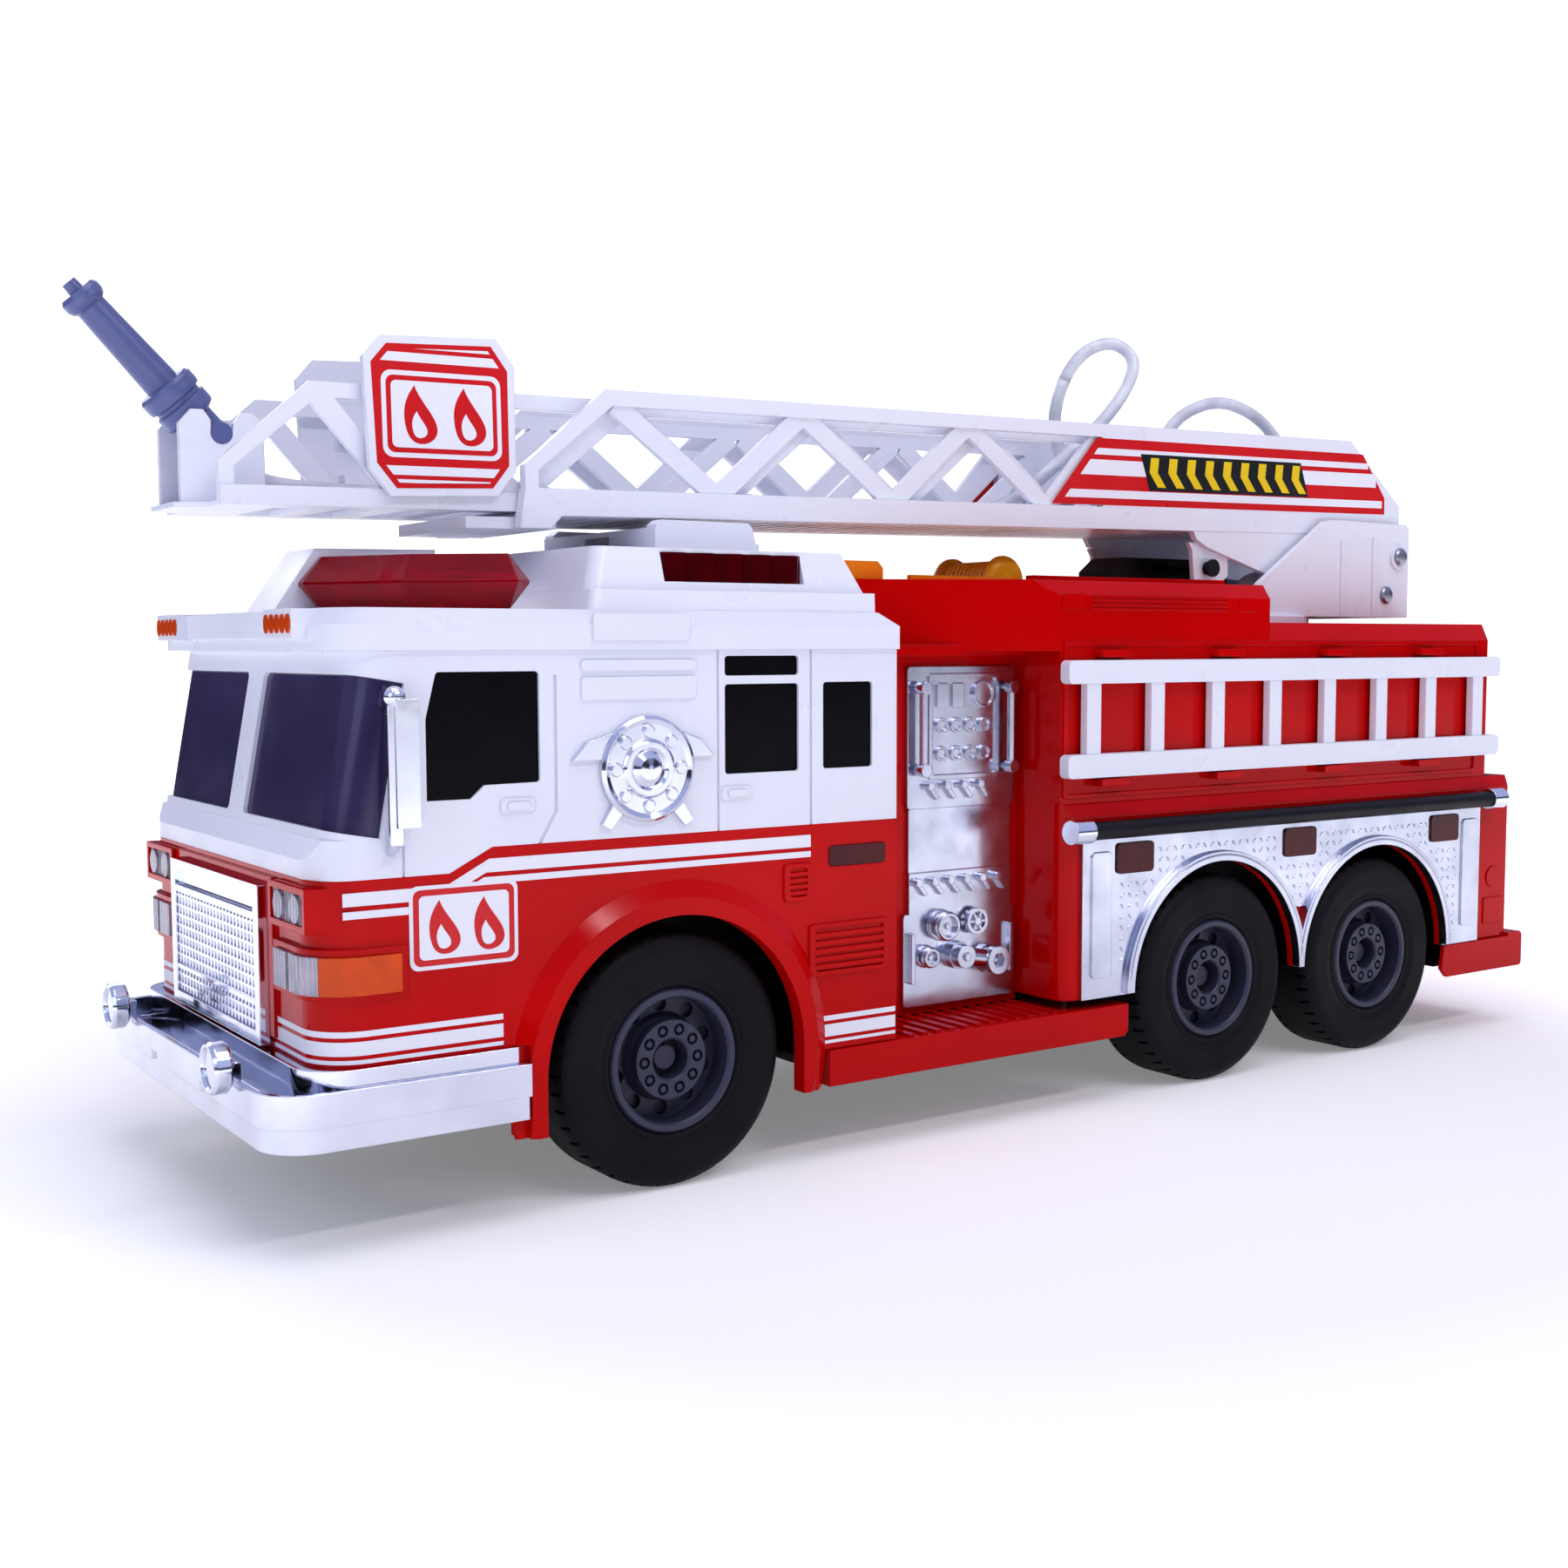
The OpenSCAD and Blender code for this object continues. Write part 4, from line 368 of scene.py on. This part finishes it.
# From the nozzle's tail to the turntable's spigot, in ladder coordinates
HOSE_ROUTE = [
    (478.1, 0, 25), (475.8, 0, 22.6), (467, 0, 18.6), (450, 0, 17), (420, 0, 16.5), (370, 0, 16.5),
    (300, 0, 16.5), (230, 0, 16.5), (200, 1, 17), (182, 3, 23), (163, 6, 37), (143, 7, 52), (129, 6, 66),
    (124, 4, 77), (131, 0, 83), (143, -3, 79), (151, -6, 68), (154, -8, 52), (148, -8, 34), (136, -8, 24),
    (120, -8, 24), (106, -6, 36), (94, -3, 54), (82, 0, 61.5), (68, 1, 63.5), (52, 1, 60), (40, 2, 52),
    (30, 5, 36), (27, 9, 18), (30, 12, 4), (42, 15, -5), (58, 16, -7), (69, 15, -9), (73.5, 14, -13),
    (73.7, 14, -17.4),
]
HOSE_STEPS = 6                            # rings from one route point to the next
FLY_CUT, LADDER_CUT = 4, 16               # route points where the hose is parted


def smooth_route(points, steps):
    """Points of a smooth curve through the route, with steps between neighbours."""
    found = []
    last = len(points) - 1
    for i in range(last):
        a, b, c, d = (Vector(points[max(min(j, last), 0)]) for j in (i - 1, i, i + 1, i + 2))
        for k in range(steps):
            t = k / steps
            found.append(0.5 * (2 * b + (c - a) * t + (2 * a - 5 * b + 4 * c - d) * t * t
                                + (3 * b - a - 3 * c + d) * t ** 3))
    return found + [Vector(points[last])]


def tube_rings(path, radius, sides):
    """Rings of points carried along a path without twist."""
    rings, side = [], Vector((0, 1, 0))
    for i, point in enumerate(path):
        ahead = (path[min(i + 1, len(path) - 1)] - path[max(i - 1, 0)]).normalized()
        side = (side - ahead * side.dot(ahead)).normalized()
        other = ahead.cross(side)
        turns = [math.tau * k / sides for k in range(sides)]
        rings.append([point + radius * (math.cos(t) * side + math.sin(t) * other) for t in turns])
    return rings


def hose_length(rings, name):
    """One stretch of the hose, closed at its two ends."""
    sides = HOSE_SIDES
    verts = [on_ladder(*v) for ring in rings for v in ring]
    faces = [list(range(sides))[::-1], [(len(rings) - 1) * sides + k for k in range(sides)]]
    for i in range(len(rings) - 1):
        for k in range(sides):
            a, b = i * sides + k, i * sides + (k + 1) % sides
            faces.append([a, b, b + sides, a + sides])
    return piece(name, verts, faces, MATERIALS["hose_pvc"], None, smooth=True)


def make_hose():
    """The hose in three stretches, in place of the imported one."""
    rings = tube_rings(smooth_route(HOSE_ROUTE, HOSE_STEPS), HOSE_R, HOSE_SIDES)
    fly_cut, ladder_cut = FLY_CUT * HOSE_STEPS, LADDER_CUT * HOSE_STEPS
    nozzle_end = hose_length(rings[:fly_cut + 1], "water_hose_nozzle_end")
    middle = hose_length(rings[fly_cut:ladder_cut + 1], "water_hose_middle")
    foot = hose_length(rings[ladder_cut:], "water_hose_foot")
    for part in (nozzle_end, middle, foot):
        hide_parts("water_hose")
    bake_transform(nozzle_end)
    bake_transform(middle)
    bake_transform(foot)


make_hose()


# ---------- printed stickers ----------

CORNER_R = 13.0
CAB_FRONT = 105.6


def cab_outline(x_from, y_to, off):
    """Plan points along the cab from the side, round the front corner and across the front."""
    cx, cy = CAB_FRONT - CORNER_R, BODY_HALF - CORNER_R
    points = [(x_from, BODY_HALF + off)]
    for k in range(13):
        t = math.radians(90 - 7.5 * k)
        points.append((cx + (CORNER_R + off) * math.cos(t), cy + (CORNER_R + off) * math.sin(t)))
    return points + [(CAB_FRONT + off, y_to)]


def wrap_stripe(name, x_from, y_to, z0, z1):
    """A stripe that wraps round the front corner of the cab, on both sides."""
    for word, sign in SIDES:
        rows = []
        for level in (0, 1):
            plan = cab_outline(x_from, y_to, raised(level))
            rows.append([at(x, sign * y, z0) for x, y in plan])
            rows.append([at(x, sign * y, z1) for x, y in plan])
        n = len(rows[0])
        verts = [v for row in rows for v in row]
        faces = []
        for i in range(n - 1):
            for lower, upper in ((0, 1), (3, 2), (1, 3), (2, 0)):
                faces.append([lower * n + i, lower * n + i + 1, upper * n + i + 1, upper * n + i])
        faces += [[0, n, 3 * n, 2 * n], [n - 1, 2 * n - 1, 4 * n - 1, 3 * n - 1]]
        piece(f"{name}_{word}", verts, faces, PAPER, "engine")


def cab_stripes():
    """White stripes: three round each front corner, three behind the arch and two along the belt."""
    for k, (z0, z1) in enumerate(((56.4, 58.0), (51.6, 55.3), (49.4, 50.5))):
        wrap_stripe(f"front_stripe_{k}", 54.6, 41.5, z0, z1)
    for k, (z0, z1) in enumerate(((42.9, 44.5), (38.0, 41.8), (35.9, 36.9))):
        side_sticker(f"rear_stripe_{k}", [(-79.6, z0), (-50.4, z0), (-50.2, z1), (-79.6, z1)], PAPER)
    side_sticker("belt_stripe_wide", [
        (99, 90.5), (99, 94), (70.4, 94), (58, 100.3), (-47.3, 100.3), (-47.3, 96.6), (59, 96.6),
        (71.2, 90.5)], PAPER)
    side_sticker("belt_stripe_narrow", [
        (99, 87.2), (99, 89.2), (71.8, 89.2), (59.6, 95.4), (-47.3, 95.4), (-47.3, 93.6), (60.2, 93.6),
        (72.4, 87.2)], PAPER)


def flame(name, place, ca, cb, size, material, body):
    """A plain pictogram: a flame with a round foot and a leaning tip."""
    outline = []
    for k in range(40):
        t = math.tau * k / 40
        rise = 0.5 * math.cos(t)
        half = 0.40 * math.sin(t) * abs(math.sin(t / 2)) ** 1.3
        outline.append((ca + size * (half + 0.07 * math.sin(4.5 * rise)), cb + size * rise))
    sticker(name, outline, place, material, body)


def flame_pair(name, place_at, level, ca, cb, size, apart, body):
    """Two flames side by side, each with a pale heart."""
    for k, da in enumerate((-apart, apart)):
        flame(f"{name}_{k}", place_at(level), ca + da, cb, size, STICKER_RED, body)
        heart = cb - 0.17 * size
        flame(f"{name}_heart_{k}", place_at(level + 1), ca + da, heart, 0.46 * size, PAPER, body)


def door_panels():
    """White panel with a red frame and two plain flames, on the front doors."""
    cx, cz = 65.5, 83.2
    layers = (("edge", 15.6, 11.2, 2.4, PAPER), ("frame", 14.5, 10.1, 2.0, STICKER_RED),
              ("field", 12.9, 8.5, 1.4, PAPER))
    for level, (part, half_wide, half_tall, r, material) in enumerate(layers, 1):
        side_sticker(f"door_panel_{part}", centred(cx, cz, half_wide, half_tall, r), material, level)
    for word, sign in SIDES:
        def place_at(level, sign=sign):
            return lambda a, b, d: at(a, sign * (BODY_HALF + raised(level) + d), b)
        flame_pair(f"door_flame_{word}", place_at, 4, cx, cz, 14.5, 6.4, "engine")


def sign_faces():
    """Printed faces of the two octagonal plates on the fly ladder."""
    plate_y = 28.0
    octagon = [(402.6, 22), (402.4, 52.4), (408, 60), (443.7, 58.6), (449, 52.6), (448, 21.5),
               (441.7, 13.7), (408.6, 14.6)]
    lines = ((55.4, 56.4), (51.6, 54.2), (17.6, 18.6), (19.8, 22.4))
    frames = (("panel", 18.4, 12.2, 3, PAPER), ("inset", 17, 10.8, 2.2, STICKER_RED),
              ("field", 15.6, 9.4, 1.6, PAPER))
    ca = sum(p[0] for p in octagon) / 8
    cb = sum(p[1] for p in octagon) / 8

    def shrunk(k):
        return [(ca + (a - ca) * k, cb + (b - cb) * k) for a, b in octagon]

    def cut(outline, low, high):
        """The part of a convex outline between two heights."""
        for level, keep in ((low, 1), (high, -1)):
            found = []
            for (a0, b0), (a1, b1) in zip(outline, outline[1:] + outline[:1]):
                in0, in1 = (b0 - level) * keep >= 0, (b1 - level) * keep >= 0
                if in0:
                    found.append((a0, b0))
                if in0 != in1:
                    t = (level - b0) / (b1 - b0)
                    found.append((a0 + (a1 - a0) * t, level))
            outline = found
        return outline

    for word, sign in SIDES:
        def place_at(level, sign=sign):
            return lambda a, b, d: on_ladder(a, sign * (plate_y + raised(level) + d), b)
        sticker(f"sign_face_{word}", shrunk(0.90), place_at(0), STICKER_RED, "fly")
        for k, (low, high) in enumerate(lines):
            sticker(f"sign_line_{word}_{k}", cut(shrunk(0.84), low, high), place_at(1), PAPER, "fly")
        for level, (part, half_wide, half_tall, r, material) in enumerate(frames, 1):
            outline = centred(ca, cb, half_wide, half_tall, r)
            sticker(f"sign_{part}_{word}", outline, place_at(level), material, "fly")
        flame_pair(f"sign_flame_{word}", place_at, 4, ca, cb, 16.5, 7.6, "fly")


def ladder_banner():
    """Red banner with white lines and a yellow and black warning block, on the rear ladder panels."""
    panel_y = 30.5
    low, high = 17.9, 42.2
    front, slant = 191.5, 0.92
    lines = ((36.2, 38.6, 14.4), (28.8, 34.4, 9.2), (20.4, 23.4, 5.2))

    def edge(b):
        """The banner's slanted front edge at height b."""
        return front - (b - low) * slant

    for word, sign in SIDES:
        def place_at(level, sign=sign):
            return lambda a, b, d: on_ladder(a, sign * (panel_y + raised(level) + d), b)
        field = [(3.4, low), (3.4, 24.6), (17.6, high), (edge(high), high), (front, low)]
        sticker(f"banner_{word}", field, place_at(0), STICKER_RED, "ladder")
        for k, (b0, b1, back) in enumerate(lines):
            band = [(back, b0), (back, b1), (edge(b1) - 4.0, b1), (edge(b0) - 4.0, b0)]
            sticker(f"banner_line_{word}_{k}", band, place_at(1), PAPER, "ladder")
        c0, c1, b0, b1 = 52.0, 142.0, 23.8, 37.2
        lean = (b1 - b0) * 0.35
        block = [(c0, b0), (c0 + lean, b1), (c1 + lean, b1), (c1, b0)]
        sticker(f"banner_block_{word}", block, place_at(2), STICKER_BLACK, "ladder")
        count = 9
        pitch = (c1 - c0) / count
        mid = (b0 + b1) / 2
        reach = pitch * 0.45
        width = pitch * 0.44
        for k in range(count):
            a = c0 + pitch * k + 1.3
            top = a + lean * 0.8
            outline = [(a, b0 + 1.2), (a + reach, mid), (top, b1 - 1.2), (top + width, b1 - 1.2),
                       (a + reach + width, mid), (a + width, b0 + 1.2)]
            sticker(f"banner_mark_{word}_{k}", outline, place_at(3), STICKER_YELLOW, "ladder")


def tail_stickers():
    """Slanted warning stripes across the tail, with a plain disc above them."""
    tail_x = -399.5

    def place_at(level):
        return lambda a, b, d: at(tail_x - raised(level) - d, a, b)

    low, high, half = 44.0, 62.0, 66.0
    sticker("tail_band", rounded(-half, half, low, high, 1.5), place_at(0), PAPER)
    lean, bar, pitch = 9.0, 6.5, 13.0
    for word, sign in SIDES:
        for k in range(4):
            a = 4 + pitch * k
            outline = [(sign * a, low + 1), (sign * (a + bar), low + 1),
                       (sign * (a + bar + lean), high - 1), (sign * (a + lean), high - 1)]
            sticker(f"tail_stripe_{word}_{k}", outline, place_at(1), STICKER_RED)
    disc_r, disc_z = 9, 80
    turns = [math.tau * k / 32 for k in range(32)]
    disc = [(disc_r * math.cos(t), disc_z + disc_r * math.sin(t)) for t in turns]
    sticker("tail_disc", disc, place_at(0), PAPER)


tail_stickers()
cab_stripes()
door_panels()
sign_faces()
ladder_banner()


# ---------- chequer plate ----------

def chequer_plate():
    """Raised lozenges on the plated fender panels, clear of the arches, lamps and frames."""
    pitch, half_long, half_wide, height = 3.7, 1.45, 0.55, 0.28
    face_y = 76.6
    front_x, rear_x, low_z, high_z = -175.5, -364.5, 40.0, 90.4
    arch_clear = 48.6
    saddle_z = AXLE_Z + 21
    axles = (-225.2, -313.5)
    lamps = [(-193.8, -172.7, 77.0, 91.6), (-279.4, -258.2, 77.0, 91.6), (-366.0, -344.8, 77.0, 91.6)]
    for word, sign in SIDES:
        verts, faces = [], []
        for r in range(int((high_z - low_z) / pitch)):
            for c in range(int((front_x - rear_x) / pitch)):
                x = front_x - pitch * (c + 0.5)
                z = low_z + pitch * (r + 0.5)
                near = min(math.hypot(x - a, z - AXLE_Z) for a in axles)
                between = axles[1] < x < axles[0] and z < saddle_z
                covered = any(a < x < b and lo < z < hi for a, b, lo, hi in lamps)
                if near < arch_clear or between or covered:
                    continue
                turn = math.radians(45 if (r + c) % 2 else -45)
                ax, az = math.cos(turn), math.sin(turn)
                i = len(verts)
                for a, b in ((half_long, 0), (0, half_wide), (-half_long, 0), (0, -half_wide)):
                    verts.append(at(x + ax * a - az * b, sign * face_y, z + az * a + ax * b))
                for a in (half_long * 0.45, -half_long * 0.45):
                    verts.append(at(x + ax * a, sign * (face_y + height), z + az * a))
                lozenge = [[0, 1, 4], [1, 5, 4], [1, 2, 5], [2, 3, 5], [3, 4, 5], [3, 0, 4], [3, 2, 1, 0]]
                faces += [[i + k for k in face] for face in lozenge]
        plate = piece(f"chequer_plate_{word}", verts, faces, MATERIALS["chrome_plating"], "engine")


chequer_plate()


# ---------- studio ----------

FLOOR_HALF = 6.0
GLOW_REACH = (0.26, 0.62)                 # distances between which the floor brightens, metres
GLOW_LEVEL = (0.20, 0.75)


def pale_floor():
    """A white paper floor that brightens with distance until it meets the white background."""
    paper = Nodes("floor_paper")
    fibre = paper.ramp(paper.noise(3, 2.0), 0.3, 0.7, 0.0, 1.0)
    tone = paper.two_tone(fibre, (0.93, 0.93, 0.94, 1), (0.91, 0.91, 0.92, 1))
    paper.link(tone, paper.bsdf.inputs["Base Color"])
    paper.bsdf.inputs["Roughness"].default_value = 0.85
    far = paper.add("ShaderNodeVectorMath", operation="LENGTH")
    paper.link(paper.place, far.inputs[0])
    glow = paper.ramp(far.outputs["Value"], *GLOW_REACH, *GLOW_LEVEL)
    paper.link(glow, paper.bsdf.inputs["Emission Strength"])
    paper.bsdf.inputs["Emission Color"].default_value = (1, 1, 1, 1)
    corners = [(-FLOOR_HALF, -FLOOR_HALF, 0), (FLOOR_HALF, -FLOOR_HALF, 0),
               (FLOOR_HALF, FLOOR_HALF, 0), (-FLOOR_HALF, FLOOR_HALF, 0)]
    piece("floor", corners, [[0, 1, 2, 3]], paper.material, None)


def soft_box(name, place, target, wide, tall, power, colour):
    """A rectangular light that faces its target; sizes and places are in metres."""
    data = bpy.data.lights.new(name, "AREA")
    data.shape = "RECTANGLE"
    data.size, data.size_y, data.energy = wide, tall, power
    data.color = colour
    lamp = bpy.data.objects.new(name, data)
    scene.collection.objects.link(lamp)
    toward = Vector(target) - Vector(place)
    lamp.matrix_world = Matrix.Translation(place) @ toward.to_track_quat("-Z", "Y").to_matrix().to_4x4()


# Heights of the room's light from straight down (0) to straight up (1), and its level at each
ROOM_BANDS = ((0.0, 0.80), (0.44, 0.60), (0.485, 0.06), (0.56, 0.12), (0.60, 0.95), (1.0, 1.0))
ROOM_TINT = (0.72, 0.79, 1.20)
ROOM_LEVEL = 0.27                         # what lights the object
MIRROR_LEVEL = 0.62                       # what shows in reflections


def white_room():
    """Plain white behind the object, and a soft banded room in its reflections."""
    world = bpy.data.worlds.new("studio")
    world.use_nodes = True
    scene.world = world
    tree = world.node_tree
    plain = tree.nodes["Background"]
    plain.inputs["Color"].default_value = (1, 1, 1, 1)
    plain.inputs["Strength"].default_value = 1.05
    room = tree.nodes.new("ShaderNodeBackground")
    coords = tree.nodes.new("ShaderNodeTexCoord")
    split = tree.nodes.new("ShaderNodeSeparateXYZ")
    bands = tree.nodes.new("ShaderNodeValToRGB")
    for k, (place, level) in enumerate(ROOM_BANDS):
        stop = bands.color_ramp.elements[k] if k < 2 else bands.color_ramp.elements.new(place)
        stop.position = place
        stop.color = tuple(level * tint for tint in ROOM_TINT) + (1,)
    remap = tree.nodes.new("ShaderNodeMapRange")
    remap.inputs["From Min"].default_value = -1.0
    tree.links.new(coords.outputs["Generated"], split.inputs["Vector"])
    tree.links.new(split.outputs["Z"], remap.inputs["Value"])
    tree.links.new(remap.outputs["Result"], bands.inputs["Fac"])
    tree.links.new(bands.outputs["Color"], room.inputs["Color"])
    seen = tree.nodes.new("ShaderNodeLightPath")
    level = tree.nodes.new("ShaderNodeMapRange")
    level.inputs["To Min"].default_value = ROOM_LEVEL
    level.inputs["To Max"].default_value = MIRROR_LEVEL
    tree.links.new(seen.outputs["Is Glossy Ray"], level.inputs["Value"])
    tree.links.new(level.outputs["Result"], room.inputs["Strength"])
    mix = tree.nodes.new("ShaderNodeMixShader")
    tree.links.new(seen.outputs["Is Camera Ray"], mix.inputs["Fac"])
    tree.links.new(room.outputs["Background"], mix.inputs[1])
    tree.links.new(plain.outputs["Background"], mix.inputs[2])
    tree.links.new(mix.outputs["Shader"], tree.nodes["World Output"].inputs["Surface"])


pale_floor()
WARM, COOL = (1.0, 0.96, 0.97), (0.68, 0.77, 1.0)
soft_box("top_light", (0.1, 0.35, 1.5), (0, 0, 0.1), 1.2, 0.9, 6.6, WARM)
soft_box("side_light", (-0.5, 1.5, 0.8), (0, 0, 0.12), 0.9, 0.9, 0.3, COOL)
soft_box("front_light", (1.5, 0.6, 0.7), (0.1, 0, 0.1), 0.8, 0.9, 2.6, COOL)
soft_box("far_light", (0.2, -1.4, 0.9), (0, 0, 0.1), 1.2, 0.8, 5, WARM)
soft_box("strip_light", (-0.05, 0.95, 1.0), (0.05, 0, 0.1), 0.9, 0.05, 3.0, WARM)
white_room()
scene.view_settings.view_transform = "Standard"
scene.view_settings.look = "Medium High Contrast"
